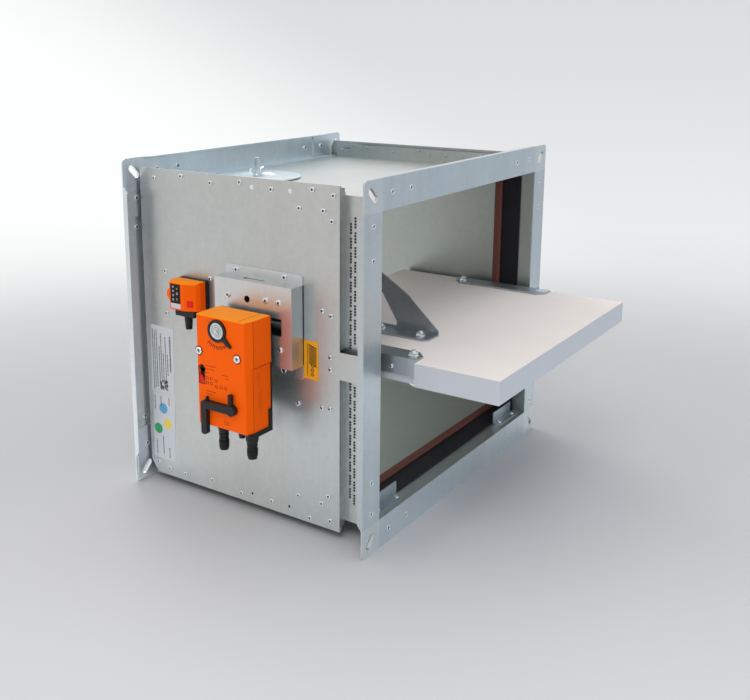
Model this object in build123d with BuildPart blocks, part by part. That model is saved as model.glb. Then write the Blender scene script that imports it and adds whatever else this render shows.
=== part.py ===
from build123d import *
import os
from math import acos, atan2, cos, degrees, hypot, pi, radians, sin, tan

# Motorised fire damper for a rectangular duct, drawn with its blade open.
# Origin: centre of the front duct opening, on the front flange face.
# X runs across the duct with the actuator on the -X side, Y along the duct, Z up. Millimetres.

# Duct size, casing and flange
DUCT_W = 450.0
DUCT_H = 400.0
CASING_L = 400.0
SHEET = 1.5
FLANGE_W = 40.0
FLANGE_T = 2.0
RAIL_LEG = 22.0
RAIL_RETURN = 8.0
RAIL_RETURN_CUT = 8.0
WALL_LIP_H = 13.5
WALL_LIP_FROM = 24.0
PANEL_LIP_H = 22.0
PANEL_LIP_FROM = 54.0
CORNER_ARM = 80.0
CORNER_ARM_W = 32.0
CORNER_EDGE = 3.0
CORNER_R = 7.0
CORNER_SLOT_W = 9.5
CORNER_SLOT_L = 23.0
CORNER_SLOT_IN = 19.0
RIVET_R = 3.6
RIVET_H = 1.2
RIVET_OUT = 20.8
POST_RIVET_IN = 2.0
RAIL_RIVETS_IN = (67.6, 23.0)
POST_RIVETS_IN = (58.0, 16.0)
RAIL_RIVETS = [DUCT_W / 2 - inward for inward in RAIL_RIVETS_IN]
POST_RIVETS = [DUCT_H / 2 - inward for inward in POST_RIVETS_IN]

# Blade, its pivot and its hinge brackets
PIVOT_Y = 37.0
BLADE_T = 30.0
BLADE_HALF_L = 192.0
BLADE_SIDE_GAP = 10.0
BLADE_HALF_W = DUCT_W / 2 - BLADE_SIDE_GAP
NOTCH_DEPTH = 8.0
HINGE_FROM = -41.0
HINGE_TO = 115.0
HINGE_T = 3.0
HINGE_FLANGE = 30.0
HINGE_DROP = 20.0
HINGE_LOBE_R = 13.0
HINGE_TIP = 12.0
HINGE_BOLT_ARM = 66.0
HINGE_BOLT_IN = 15.0
PIN_R = 6.0
PIN_COLLAR_R = 10.0
PIN_COLLAR_T = 3.0
PIN_REACH = 9.0
PIN_END_X = DUCT_W / 2 + PIN_REACH
BOLT_R = 3.0
BOLT_HOLE_R = 3.2
BOLT_HEAD_R = 5.6
BOLT_HEAD_H = 4.5
EDGE_SCREW_AT = (-6.0, 4.0)

# Strips and seal inside the casing
STRIP_FROM = 22.0
STRIP_TO = 52.0
STRIP_T = 2.0
STRIP_HOLE_R = 13.0
SEAL_FROM = 52.3
SEAL_TO = 65.0
SEAL_H = 6.5
SEAL_R = 4.0
BUTT_GAP = 0.2

# Pivot bushes and drive bush
BUSH_R = 9.0
BUSH_FLANGE_R = 12.0
BUSH_FLANGE_T = 3.0
RUNNING_GAP = 0.05
DRIVE_BUSH_R = 10.5
DRIVE_BUSH_FLANGE_R = 14.0

# Blade stops on the floor of the frame
STOP_FACE_Y = 21.5
STOP_SIDE_GAP = 12.0
STOP_L = 63.0
STOP_TO_X = DUCT_W / 2 - STOP_SIDE_GAP
STOP_FROM_X = STOP_TO_X - STOP_L
STOP_H = 19.0
STOP_FOOT = 13.5
STOP_SCREWS_X = (STOP_FROM_X + 10.0, STOP_TO_X - 7.0)
STOP_SCREW_Y = 14.0

# Side panels
PANEL_OUT = 14.0
PANEL_OVER = 27.5
PANEL_X = DUCT_W / 2 + PANEL_OUT
PANEL_HALF_H = DUCT_H / 2 + PANEL_OVER
PANEL_FROM = 52.0
PANEL_TO = 392.0
PANEL_MITRE = 9.5
TONGUE_TO = 22.0
TONGUE_HALF_W = 18.0
TONGUE_RETURN = 7.0
PANEL_CUT_Y = 12.0
PANEL_CUT_Z = 20.0
PANEL_SCREW_R = 3.2
PANEL_SCREW_H = 2.0

# Perforations beside the front flange, as (y, centre height) of two columns above and below the pivot
PERF_COLUMNS = ((37.5, 108.5), (44.0, 101.0))
PERF_GROUP_PITCH = 18.4
PERF_GROUP_L = 14.0
PERF_W = 3.2
PERF_GROUPS = 9

# Mechanism box behind the actuator
BOX_FROM = 108.0
BOX_TO = 235.0
BOX_LOW = -10.0
BOX_HIGH = 97.0
BOX_DEPTH = 25.0
BOX_FLANGE = 13.0
BOX_LOW_FLANGE = 20.0
BOX_FLANGE_R = 5.0
BOX_ROD_R = 6.0
WINDOW_FROM = 124.0
WINDOW_TO = 165.0
WINDOW_LOW = 32.0
WINDOW_HIGH = 55.0
PEEP_HOLE = (180.0, 73.4)
PEEP_R = 4.6

# Drive axis and the linkage from it to the blade: the crank, the link and the lever arm on the
# blade form a parallelogram with the line from the pivot to the drive axis
DRIVE_Y = 182.0
DRIVE_Z = 44.0
LEVER_R = 97.0
LEVER_ANGLE = 60.3
LINK_LENGTH = hypot(DRIVE_Y - PIVOT_Y, DRIVE_Z)
LINK_ANGLE = degrees(atan2(DRIVE_Z, DRIVE_Y - PIVOT_Y))
LEVER_PIN_Y = PIVOT_Y + LEVER_R * cos(radians(LEVER_ANGLE))
LEVER_PIN_Z = LEVER_R * sin(radians(LEVER_ANGLE))
CRANK_PIN_Y = DRIVE_Y + LEVER_R * cos(radians(LEVER_ANGLE))
CRANK_PIN_Z = DRIVE_Z + LEVER_R * sin(radians(LEVER_ANGLE))
SHAFT_R = 7.0
SHAFT_END_X = -110.0
CRANK_X = -115.0
CRANK_T = 5.0
CRANK_W = 20.0
HUB_R = 14.0
HUB_L = 8.0
LINK_X = -108.0
LINK_T = 4.0
LINK_W = 18.0
LINK_PIN_R = 4.0
OPEN_PIVOT_GAP = 0.3
PIN_HEAD_R = 6.5
PIN_HEAD_T = 2.0

# Lever bracket on the blade
LEVER_WEB_X = -101.5
LEVER_WEB_T = 2.5
LEVER_FOOT_FROM_X = -132.0
LEVER_FOOT_FROM = -12.0
LEVER_FOOT_TO = 132.0
LEVER_BOLTS_Y = (7.0, 68.0)
LEVER_BOLT_X = -115.0

# Actuator
ACT_FROM = 134.0
ACT_TO = 218.0
ACT_LOW = -86.0
ACT_HIGH = 61.0
ACT_MOUNT_T = 8.0
ACT_MOUNT_INSET = 16.0
ACT_BASE_T = 9.5
ACT_DEPTH = 46.5
ACT_WALL = 2.5
ACT_SIDE_STEP = 1.5
COVER_WALL = 1.5
ACT_FRONT_WALL = 4.0
ACT_BEVEL_Y = 4.5
ACT_BEVEL_X = 12.0
ACT_EDGE_R = 2.5
COVER_TO = 149.0
COVER_LOW = 0.0
ACT_SCREWS = ((214.0, 12.8), (150.5, 12.6))
ACT_SCREW_R = 5.0
ACT_SCREW_H = 1.6
ACT_FOOT_TOP = -62.0
ACT_FOOT_T = 3.5
CAP_TO_Y = 157.0
CAP_LOW = -92.5
CAP_FRONT_X = -308.0
CAP_TIP_X = -318.0
DISC_R = 11.0
RING_R = 14.3
RING_GAP = 0.4
RING_PROUD = 2.5
POINTER_FROM = 12.0
POINTER_R = 29.0
POINTER_W = 8.0
POINTER_TIP_W = 3.0
POINTER_ANGLE = 219.0
SLIDER_Y = 210.0
SLIDER_W = 8.0
SLIDER_L = 10.0
SLIDER_T = 2.2
SLIDER_FLAT = 2.5
SLOT_LOW = -30.0
SLOT_HIGH = -8.0
KEYHOLE_Z = -11.0
KEYHOLE_R = 5.2
PART_GAP = 0.3

# Gear pair inside the actuator
MODULE = 1.0
SECTOR_TEETH = 60
PINION_TEETH = 12
PRESSURE_ANGLE = 25.0
ADDENDUM = 0.9
DEDENDUM = 1.2
BACKLASH = 0.12
SECTOR_SPAN = 102.0
GEAR_T = 6.0
PINION_T = 8.0
GEAR_X = -300.0
PINION_Z = DRIVE_Z - MODULE * (SECTOR_TEETH + PINION_TEETH) / 2
MOTOR_R = 14.0
MOTOR_L = 16.0
MOTOR_SHAFT_R = 2.0
MOTOR_SHAFT_IN = 6.0
SPRING_Y = 176.0
SPRING_Z = -50.0
SPRING_R = 27.0
SPRING_T = 20.0
SPRING_WALL = 2.0
SPRING_RECESS = 3.0
SPRING_HUB_R = 8.0
SPRING_BORE_R = 4.0

# Cable glands under the actuator: place across X and Y, radius at the root, upper and lower end in Z
GLANDS = (
    (-299.0, 194.0, 8.0, ACT_LOW, -124.0),
    (-297.5, 147.5, 8.4, CAP_LOW, -126.0),
    (-299.0, 163.0, 5.5, ACT_LOW, -101.0),
)
GLAND_COLLAR_H = 8.0
GLAND_TAPER = 0.72
GLAND_RIBS_BELOW = -110.0
GLAND_RIB = 1.2

# Hand crank in its clip on the actuator's face
CRANK_TOOL_T = 7.0
CRANK_TOOL_ARM = (158.0, 207.5, -60.5, -50.5)
CRANK_TOOL_GRIP = (198.5, 207.5, -96.0, -50.5)
CRANK_TOOL_HEAD_R = 6.8
CRANK_TOOL_STUB = (160.0, -35.0)
CRANK_TOOL_STUB_R = 3.4

# Thermal sensor on the panel
SENSOR_FROM = 268.7
SENSOR_TO = 318.0
SENSOR_LOW = 40.0
SENSOR_HIGH = 80.0
SENSOR_BASE_T = 6.0
SENSOR_DEPTH = 27.0
PROBE_Y = 293.0
PROBE_Z = 60.0
PROBE_R = 4.0
PROBE_REACH = 30.0
PROBE_END_X = PROBE_REACH - DUCT_W / 2
FACET_FROM = (7.0, 274.0)
FACET_TO = 290.0
EAR_Z = 58.0
EAR_R = 9.0
EAR_T = 13.0
CONNECTOR_W = 34.0
CONNECTOR_D = 16.0
CONNECTOR_H = 9.0
CONNECTOR_TAIL_R = 6.0
CONNECTOR_TAIL_L = 19.0
BUTTON_Z = 50.0
BUTTON_SIDE = 8.0
BUTTON_PROUD = 0.8
BUTTON_T = 4.0

# Labels on the left panel: from and to along Y, low and high in Z
LABEL_T = 0.3
RATING_LABEL = (341.0, 385.5, -204.0, -1.0)
LIMIT_LABEL = (84.5, 107.5, -26.0, 25.5)

# Inspection lid on the top wall
LID_X = -80.0
LID_Y = 310.0
LID_R = 65.0
LID_HOLE_R = 55.0
LID_T = 1.5
GASKET_T = 1.0
STUD_R = 4.0
STUD_TOP = 231.0
BRIDGE_L = 124.0
BRIDGE_W = 18.0
BRIDGE_T = 3.0
NUT_R = 7.0
NUT_H = 7.0
WING_SPAN = 17.0
WING_T = 2.5
WING_H = 12.0

os.makedirs("parts", exist_ok=True)
pieces = {}
middle = Plane.XZ.offset(-CASING_L / 2)


def side_plane(x):
    """Plane across X: its axes are Y and Z, and it faces +X."""
    return Plane.YZ.offset(x)


def front_plane(y):
    """Plane across Y: its axes are X and Z, and it faces -Y."""
    return Plane.XZ.offset(-y)


def turned_along_x(stations, y, z):
    """Turned piece on an axis along X, from (x, radius) points."""
    with BuildPart() as piece:
        with BuildSketch(Plane((0, y, z))):
            with BuildLine():
                Polyline(*stations, close=True)
            make_face()
        revolve(axis=Axis((0, y, z), (1, 0, 0)))
    return piece


def turned_along_z(stations, x, y):
    """Turned piece on an axis along Z, from (radius, z) points."""
    with BuildPart() as piece:
        with BuildSketch(Plane(origin=(x, y, 0), x_dir=(1, 0, 0), z_dir=(0, -1, 0))):
            with BuildLine():
                Polyline(*stations, close=True)
            make_face()
        revolve(axis=Axis((x, y, 0), (0, 0, 1)))
    return piece


# Casing walls

half_w = DUCT_W / 2
half_h = DUCT_H / 2
wall_out_x = half_w + SHEET
rail_out_x = wall_out_x + FLANGE_T
panel_in_x = PANEL_X - SHEET
wall_length = CASING_L - 2 * FLANGE_T

with BuildPart() as top_wall:
    with BuildSketch(Plane.XY.offset(half_h)):
        with Locations((0, CASING_L / 2)):
            Rectangle(DUCT_W, wall_length)
        with Locations((LID_X, LID_Y)):
            Circle(LID_HOLE_R, mode=Mode.SUBTRACT)
    extrude(amount=SHEET)
pieces["top_wall"] = top_wall

with BuildPart() as bottom_wall:
    with BuildSketch(Plane.XY.offset(-half_h)):
        with Locations((0, CASING_L / 2)):
            Rectangle(DUCT_W, wall_length)
    extrude(amount=-SHEET)
pieces["bottom_wall"] = bottom_wall

for side, sign in (("left", -1), ("right", 1)):
    with BuildPart() as side_wall:
        with BuildSketch(side_plane(sign * (half_w + SHEET / 2))):
            with Locations((CASING_L / 2, 0)):
                Rectangle(wall_length, DUCT_H + 2 * SHEET)
                Rectangle(CASING_L - 2 * WALL_LIP_FROM, DUCT_H + 2 * SHEET + 2 * WALL_LIP_H)
                Rectangle(CASING_L - 2 * PANEL_LIP_FROM, DUCT_H + 2 * SHEET + 2 * PANEL_LIP_H)
            with Locations((PIVOT_Y, 0)):
                Circle(BUSH_R, mode=Mode.SUBTRACT)
            for column_y, column_z in PERF_COLUMNS:
                with Locations((column_y, column_z), (column_y, -column_z)):
                    with GridLocations(1, PERF_GROUP_PITCH, 1, PERF_GROUPS):
                        Rectangle(PERF_W, PERF_GROUP_L, mode=Mode.SUBTRACT)
            if side == "left":
                with Locations((DRIVE_Y, DRIVE_Z)):
                    Circle(DRIVE_BUSH_R, mode=Mode.SUBTRACT)
                with Locations((PROBE_Y, PROBE_Z)):
                    Circle(PROBE_R, mode=Mode.SUBTRACT)
        extrude(amount=SHEET / 2, both=True)
    pieces[f"{side}_wall"] = side_wall


# Flange rails: the face covers the end of the wall, the leg lies on its outside, and the outer edge
# is folded back


def rail_profile(inner):
    """Rail section as (y, distance from the duct axis) points."""
    outer = inner + FLANGE_W
    seat = inner + SHEET
    return [
        (0, inner),
        (0, outer),
        (RAIL_RETURN, outer),
        (RAIL_RETURN, outer - FLANGE_T),
        (FLANGE_T, outer - FLANGE_T),
        (FLANGE_T, seat + FLANGE_T),
        (RAIL_LEG, seat + FLANGE_T),
        (RAIL_LEG, seat),
        (FLANGE_T, seat),
        (FLANGE_T, inner),
    ]


return_cut = [(0, FLANGE_T), (RAIL_RETURN_CUT, RAIL_RETURN), (0, RAIL_RETURN)]

for side, sign in (("top", 1), ("bottom", -1)):
    with BuildPart() as level_rail:
        with BuildSketch(Plane.YZ):
            with BuildLine():
                Polyline(*[(y, sign * out) for y, out in rail_profile(half_h)], close=True)
            make_face()
        extrude(amount=half_w, both=True)
        # Slanted ends of the folded edge
        with BuildSketch(Plane.XY.offset(sign * (half_h + FLANGE_W))):
            for end in (-1, 1):
                with BuildLine():
                    Polyline(*[(end * (half_w - along), y) for along, y in return_cut], close=True)
                make_face()
        extrude(amount=-sign * FLANGE_T, mode=Mode.SUBTRACT)
    pieces[f"front_{side}_rail"] = level_rail

for side, sign in (("left", -1), ("right", 1)):
    with BuildPart() as upright_rail:
        with BuildSketch(Plane.XY):
            with BuildLine():
                Polyline(*[(sign * out, y) for y, out in rail_profile(half_w)], close=True)
            make_face()
        extrude(amount=half_h, both=True)
        with BuildSketch(side_plane(sign * (half_w + FLANGE_W))):
            for end in (-1, 1):
                with BuildLine():
                    Polyline(*[(y, end * (half_h - along)) for along, y in return_cut], close=True)
                make_face()
        extrude(amount=-sign * FLANGE_T, mode=Mode.SUBTRACT)
    pieces[f"front_{side}_rail"] = upright_rail

for side in ("top", "bottom", "left", "right"):
    with BuildPart() as rear_rail:
        mirror(pieces[f"front_{side}_rail"].part, about=middle)
    pieces[f"rear_{side}_rail"] = rear_rail

# Corner plates: a square flush with the rails, and two arms that lie behind them
corner_out_x = half_w + FLANGE_W
corner_out_z = half_h + FLANGE_W
arm_in_z = corner_out_z - CORNER_EDGE - CORNER_ARM_W
arm_in_x = corner_out_x - CORNER_EDGE - CORNER_ARM_W

with BuildPart() as front_corner_plates:
    with BuildSketch(front_plane(FLANGE_T)):
        with Locations((half_w + FLANGE_W / 2, half_h + FLANGE_W / 2)):
            Rectangle(FLANGE_W, FLANGE_W)
    extrude(amount=FLANGE_T)
    with BuildSketch(front_plane(2 * FLANGE_T)):
        with BuildLine():
            Polyline(
                (corner_out_x - CORNER_EDGE, corner_out_z - CORNER_EDGE),
                (corner_out_x - CORNER_EDGE, corner_out_z - CORNER_EDGE - CORNER_ARM),
                (arm_in_x, corner_out_z - CORNER_EDGE - CORNER_ARM),
                (arm_in_x, arm_in_z),
                (corner_out_x - CORNER_EDGE - CORNER_ARM, arm_in_z),
                (corner_out_x - CORNER_EDGE - CORNER_ARM, corner_out_z - CORNER_EDGE),
                close=True,
            )
        make_face()
    extrude(amount=FLANGE_T)
    outer_edges = front_corner_plates.edges().filter_by(Axis.Y).sort_by(
        lambda edge: edge.center().X + edge.center().Z
    )
    fillet(outer_edges[-1], CORNER_R)
    slot_x = corner_out_x - CORNER_SLOT_IN
    slot_z = corner_out_z - CORNER_SLOT_IN
    with BuildSketch(front_plane(2 * FLANGE_T)):
        with Locations(Location((slot_x, slot_z, 0), (0, 0, 45))):
            SlotOverall(CORNER_SLOT_L, CORNER_SLOT_W)
    extrude(amount=2 * FLANGE_T, mode=Mode.SUBTRACT)
    mirror(about=Plane.YZ)
    mirror(about=Plane.XY)
pieces["front_corner_plates"] = front_corner_plates

with BuildPart() as rear_corner_plates:
    mirror(front_corner_plates.part, about=middle)
pieces["rear_corner_plates"] = rear_corner_plates

# Rivet buttons on the inner side of the flanges: two on each end of a rail, one of them on the arm
rivet_z = half_h + RIVET_OUT
rivet_x = half_w + RIVET_OUT - POST_RIVET_IN
with BuildPart() as flange_rivets:
    with BuildSketch(front_plane(2 * FLANGE_T)):
        for x_sign in (-1, 1):
            for z_sign in (-1, 1):
                with Locations((x_sign * RAIL_RIVETS[1], z_sign * rivet_z)):
                    RegularPolygon(RIVET_R, 8)
                with Locations((x_sign * rivet_x, z_sign * POST_RIVETS[1])):
                    RegularPolygon(RIVET_R, 8)
    extrude(amount=-RIVET_H)
    with BuildSketch(front_plane(FLANGE_T)):
        for x_sign in (-1, 1):
            for z_sign in (-1, 1):
                with Locations((x_sign * RAIL_RIVETS[0], z_sign * rivet_z)):
                    RegularPolygon(RIVET_R, 8)
                with Locations((x_sign * rivet_x, z_sign * POST_RIVETS[0])):
                    RegularPolygon(RIVET_R, 8)
    extrude(amount=-RIVET_H)
    mirror(about=middle)
pieces["flange_rivets"] = flange_rivets

# Side panels: a tray on the outside of each side wall with a tongue over the bearing

for side, sign in (("left", -1), ("right", 1)):
    with BuildPart() as side_panel:
        with BuildSketch(side_plane(sign * (PANEL_X - SHEET / 2))):
            with BuildLine():
                Polyline(
                    (PANEL_FROM, -PANEL_HALF_H),
                    (PANEL_TO - PANEL_CUT_Y, -PANEL_HALF_H),
                    (PANEL_TO, -PANEL_HALF_H + PANEL_CUT_Z),
                    (PANEL_TO, PANEL_HALF_H),
                    (PANEL_FROM, PANEL_HALF_H),
                    (PANEL_FROM, TONGUE_HALF_W),
                    (TONGUE_TO, TONGUE_HALF_W),
                    (TONGUE_TO, -TONGUE_HALF_W),
                    (PANEL_FROM, -TONGUE_HALF_W),
                    close=True,
                )
            make_face()
            if side == "left":
                with Locations((DRIVE_Y, DRIVE_Z)):
                    Circle(SHAFT_R + PART_GAP, mode=Mode.SUBTRACT)
                with Locations((PROBE_Y, PROBE_Z)):
                    Circle(PROBE_R, mode=Mode.SUBTRACT)
        extrude(amount=SHEET / 2, both=True)
        # Front lip, in two lengths with mitred ends, above and below the tongue
        with BuildSketch(front_plane(PANEL_FROM + SHEET)):
            for up in (-1, 1):
                with BuildLine():
                    Polyline(
                        (sign * panel_in_x, up * (TONGUE_HALF_W + 2)),
                        (sign * panel_in_x, up * PANEL_HALF_H),
                        (sign * wall_out_x, up * (PANEL_HALF_H - PANEL_MITRE)),
                        (sign * wall_out_x, up * (TONGUE_HALF_W + 2)),
                        close=True,
                    )
                make_face()
        extrude(amount=SHEET)
        # Rear lip, which lands on the leg of the rear rail
        with BuildSketch(front_plane(PANEL_TO)):
            with BuildLine():
                Polyline(
                    (sign * panel_in_x, -PANEL_HALF_H + PANEL_CUT_Z),
                    (sign * panel_in_x, PANEL_HALF_H),
                    (sign * rail_out_x, PANEL_HALF_H - PANEL_MITRE),
                    (sign * rail_out_x, -PANEL_HALF_H + PANEL_CUT_Z + PANEL_MITRE),
                    close=True,
                )
            make_face()
        extrude(amount=SHEET)
        # Return at the end of the tongue
        with BuildSketch(front_plane(TONGUE_TO + SHEET)):
            with Locations((sign * (panel_in_x - TONGUE_RETURN / 2), 0)):
                Rectangle(TONGUE_RETURN, 2 * TONGUE_HALF_W)
        extrude(amount=SHEET)
    pieces[f"{side}_side_panel"] = side_panel

# Screw heads on the panels. Those near the upper or lower edge are given as (y, distance from the edge)
FROM_TOP = [(61, 12.5), (92.5, 7.5), (157, 12.5), (209, 7.5), (260, 12.5), (313, 7.5), (364, 13.5)]
FROM_TOP_FRAME = [(63, 44.5), (76, 32.5), (113, 32.5)]
FROM_LOW = [(66, 12.5), (99, 7.5), (163.5, 13.5), (217.5, 10.5), (270, 15.5), (323, 10.5)]
FROM_LOW_REAR = [(354, 11.5), (377, 17.5)]
FROM_LOW_FRAME = [(69, 46.5), (80, 33.5), (118, 34.5)]
edge_screws = [(y, PANEL_HALF_H - edge) for y, edge in FROM_TOP + FROM_TOP_FRAME]
edge_screws += [(y, edge - PANEL_HALF_H) for y, edge in FROM_LOW + FROM_LOW_REAR + FROM_LOW_FRAME]
# Those by the tongue and in the middle, as (y, z)
FRAME_SCREWS = [(78, 68), (64.5, 63), (66, 9), (66, -7), (67, -60), (79, -61), (117, -63)]
MIDDLE_SCREWS = [(349, 84), (265, 84), (349, 22)]

with BuildPart() as panel_screws:
    with BuildSketch(side_plane(-PANEL_X)):
        with Locations(*edge_screws, *FRAME_SCREWS, *MIDDLE_SCREWS):
            RegularPolygon(PANEL_SCREW_R, 8)
    extrude(amount=-PANEL_SCREW_H)
    with BuildSketch(side_plane(PANEL_X)):
        with Locations(*edge_screws, *FRAME_SCREWS):
            RegularPolygon(PANEL_SCREW_R, 8)
    extrude(amount=PANEL_SCREW_H)
pieces["panel_screws"] = panel_screws

# Intumescent strips on the four inner faces, with a hole round each pivot

with BuildPart() as intumescent_strips:
    for sign in (-1, 1):
        with BuildSketch(Plane.XY.offset(sign * (half_h - STRIP_T / 2))):
            with Locations((0, (STRIP_FROM + STRIP_TO) / 2)):
                Rectangle(2 * (half_w - STRIP_T - BUTT_GAP), STRIP_TO - STRIP_FROM)
        extrude(amount=STRIP_T / 2, both=True)
        with BuildSketch(side_plane(sign * (half_w - STRIP_T / 2))):
            with Locations(((STRIP_FROM + STRIP_TO) / 2, 0)):
                Rectangle(STRIP_TO - STRIP_FROM, DUCT_H)
            with Locations((PIVOT_Y, 0)):
                Circle(STRIP_HOLE_R, mode=Mode.SUBTRACT)
        extrude(amount=STRIP_T / 2, both=True)
pieces["intumescent_strips"] = intumescent_strips

# Bulb seal behind the strips: four lengths, rounded towards the duct

with BuildPart() as bulb_seal:
    for sign in (-1, 1):
        with BuildSketch(Plane.YZ) as level_section:
            with Locations(((SEAL_FROM + SEAL_TO) / 2, sign * (half_h - SEAL_H / 2))):
                Rectangle(SEAL_TO - SEAL_FROM, SEAL_H)
            fillet(level_section.vertices().sort_by(lambda vertex: abs(vertex.Y))[:2], SEAL_R)
        extrude(amount=half_w, both=True)
        with BuildSketch(Plane.XY) as upright_section:
            with Locations((sign * (half_w - SEAL_H / 2), (SEAL_FROM + SEAL_TO) / 2)):
                Rectangle(SEAL_H, SEAL_TO - SEAL_FROM)
            fillet(upright_section.vertices().sort_by(lambda vertex: abs(vertex.X))[:2], SEAL_R)
        extrude(amount=half_h - SEAL_H - BUTT_GAP, both=True)
pieces["bulb_seal"] = bulb_seal

# Pivot bushes in the side walls

bush_in_x = half_w - STRIP_T
left_bush = turned_along_x(
    [
        (-bush_in_x, PIN_R + RUNNING_GAP),
        (-bush_in_x, BUSH_R),
        (-wall_out_x, BUSH_R),
        (-wall_out_x, BUSH_FLANGE_R),
        (-wall_out_x - BUSH_FLANGE_T, BUSH_FLANGE_R),
        (-wall_out_x - BUSH_FLANGE_T, PIN_R + RUNNING_GAP),
    ],
    PIVOT_Y,
    0,
)
with BuildPart() as pivot_bushes:
    add(left_bush.part)
    mirror(about=Plane.YZ)
pieces["pivot_bushes"] = pivot_bushes

pieces["drive_bush"] = turned_along_x(
    [
        (-half_w + BUSH_FLANGE_T, SHAFT_R + RUNNING_GAP),
        (-half_w + BUSH_FLANGE_T, DRIVE_BUSH_FLANGE_R),
        (-half_w, DRIVE_BUSH_FLANGE_R),
        (-half_w, DRIVE_BUSH_R),
        (-panel_in_x, DRIVE_BUSH_R),
        (-panel_in_x, SHAFT_R + RUNNING_GAP),
    ],
    DRIVE_Y,
    DRIVE_Z,
)

# Blade stops: two angles on the floor, the upright leaf against which the closed blade rests

with BuildPart() as blade_stops:
    with BuildSketch(Plane.XY.offset(-half_h)) as stop_foot:
        with Locations(((STOP_FROM_X + STOP_TO_X) / 2, STOP_FACE_Y - STOP_FOOT / 2)):
            Rectangle(STOP_TO_X - STOP_FROM_X, STOP_FOOT)
        chamfer(stop_foot.vertices().sort_by(lambda vertex: vertex.X + vertex.Y)[:1], STOP_FOOT / 2)
    extrude(amount=SHEET)
    with BuildSketch(Plane.XY.offset(-half_h)):
        with Locations(((STOP_FROM_X + STOP_TO_X) / 2, STOP_FACE_Y - SHEET / 2)):
            Rectangle(STOP_TO_X - STOP_FROM_X, SHEET)
    extrude(amount=STOP_H)
    mirror(about=Plane.YZ)
pieces["blade_stops"] = blade_stops

with BuildPart() as stop_screws:
    with BuildSketch(Plane.XY.offset(-half_h + SHEET)):
        for x in STOP_SCREWS_X:
            with Locations((x, STOP_SCREW_Y), (-x, STOP_SCREW_Y)):
                RegularPolygon(PANEL_SCREW_R, 8)
    extrude(amount=PANEL_SCREW_H)
pieces["stop_screws"] = stop_screws

# Mechanism box: a folded cover with a flange above and below, fixed to the left panel

box_y = (BOX_FROM + BOX_TO) / 2
box_z = (BOX_LOW + BOX_HIGH) / 2
box_w = BOX_TO - BOX_FROM
box_h = BOX_HIGH - BOX_LOW
box_face_x = -PANEL_X - BOX_DEPTH

with BuildPart() as mechanism_box:
    with BuildSketch(side_plane(-PANEL_X)):
        with Locations((box_y, box_z)):
            Rectangle(box_w, box_h)
    extrude(amount=-BOX_DEPTH)
    with BuildSketch(side_plane(-PANEL_X)):
        with Locations((box_y, box_z)):
            Rectangle(box_w - 2 * SHEET, box_h - 2 * SHEET)
    extrude(amount=-(BOX_DEPTH - SHEET), mode=Mode.SUBTRACT)
    with BuildSketch(side_plane(-PANEL_X)) as flange_outline:
        with Locations((box_y, BOX_HIGH + BOX_FLANGE / 2)):
            Rectangle(box_w, BOX_FLANGE)
        with Locations((box_y - box_w / 4, BOX_LOW - BOX_LOW_FLANGE / 2)):
            Rectangle(box_w / 2, BOX_LOW_FLANGE)
        fillet(flange_outline.vertices().group_by(Axis.Y)[-1], BOX_FLANGE_R)
        fillet(flange_outline.vertices().group_by(Axis.Y)[0], BOX_FLANGE_R)
    extrude(amount=-SHEET)
    with BuildSketch(side_plane(box_face_x)):
        with Locations(((WINDOW_FROM + WINDOW_TO) / 2, (WINDOW_LOW + WINDOW_HIGH) / 2)):
            Rectangle(WINDOW_TO - WINDOW_FROM, WINDOW_HIGH - WINDOW_LOW)
        with Locations((DRIVE_Y, DRIVE_Z)):
            Circle(DRIVE_BUSH_R)
        with Locations(PEEP_HOLE):
            Circle(PEEP_R)
    extrude(amount=SHEET, mode=Mode.SUBTRACT)
pieces["mechanism_box"] = mechanism_box

# Round bar inside the box, behind its window
with BuildPart() as box_rod:
    with BuildSketch(front_plane(BOX_FROM + SHEET)):
        with Locations((-PANEL_X - BOX_DEPTH / 2, DRIVE_Z)):
            Circle(BOX_ROD_R)
    extrude(amount=-(WINDOW_TO - BOX_FROM - SHEET))
pieces["box_rod"] = box_rod

BOX_FACE_SCREWS = [(212, 75), (149, 76), (128, 76), (126.5, 14)]
BOX_FLANGE_SCREWS = [(217, 103.5), (136.5, 103.5), (139, -21.5)]
with BuildPart() as box_screws:
    with BuildSketch(side_plane(box_face_x)):
        with Locations(*BOX_FACE_SCREWS):
            RegularPolygon(PANEL_SCREW_R, 8)
    extrude(amount=-PANEL_SCREW_H)
    with BuildSketch(side_plane(-PANEL_X - SHEET)):
        with Locations(*BOX_FLANGE_SCREWS):
            RegularPolygon(PANEL_SCREW_R, 8)
    extrude(amount=-PANEL_SCREW_H)
pieces["box_screws"] = box_screws

# Actuator

act_y = (ACT_FROM + ACT_TO) / 2
act_z = (ACT_LOW + ACT_HIGH) / 2
act_w = ACT_TO - ACT_FROM
act_h = ACT_HIGH - ACT_LOW
act_back_x = box_face_x
act_seam_x = act_back_x - ACT_BASE_T
act_face_x = act_seam_x - ACT_DEPTH

plate_back_x = act_back_x - ACT_MOUNT_T

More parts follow.
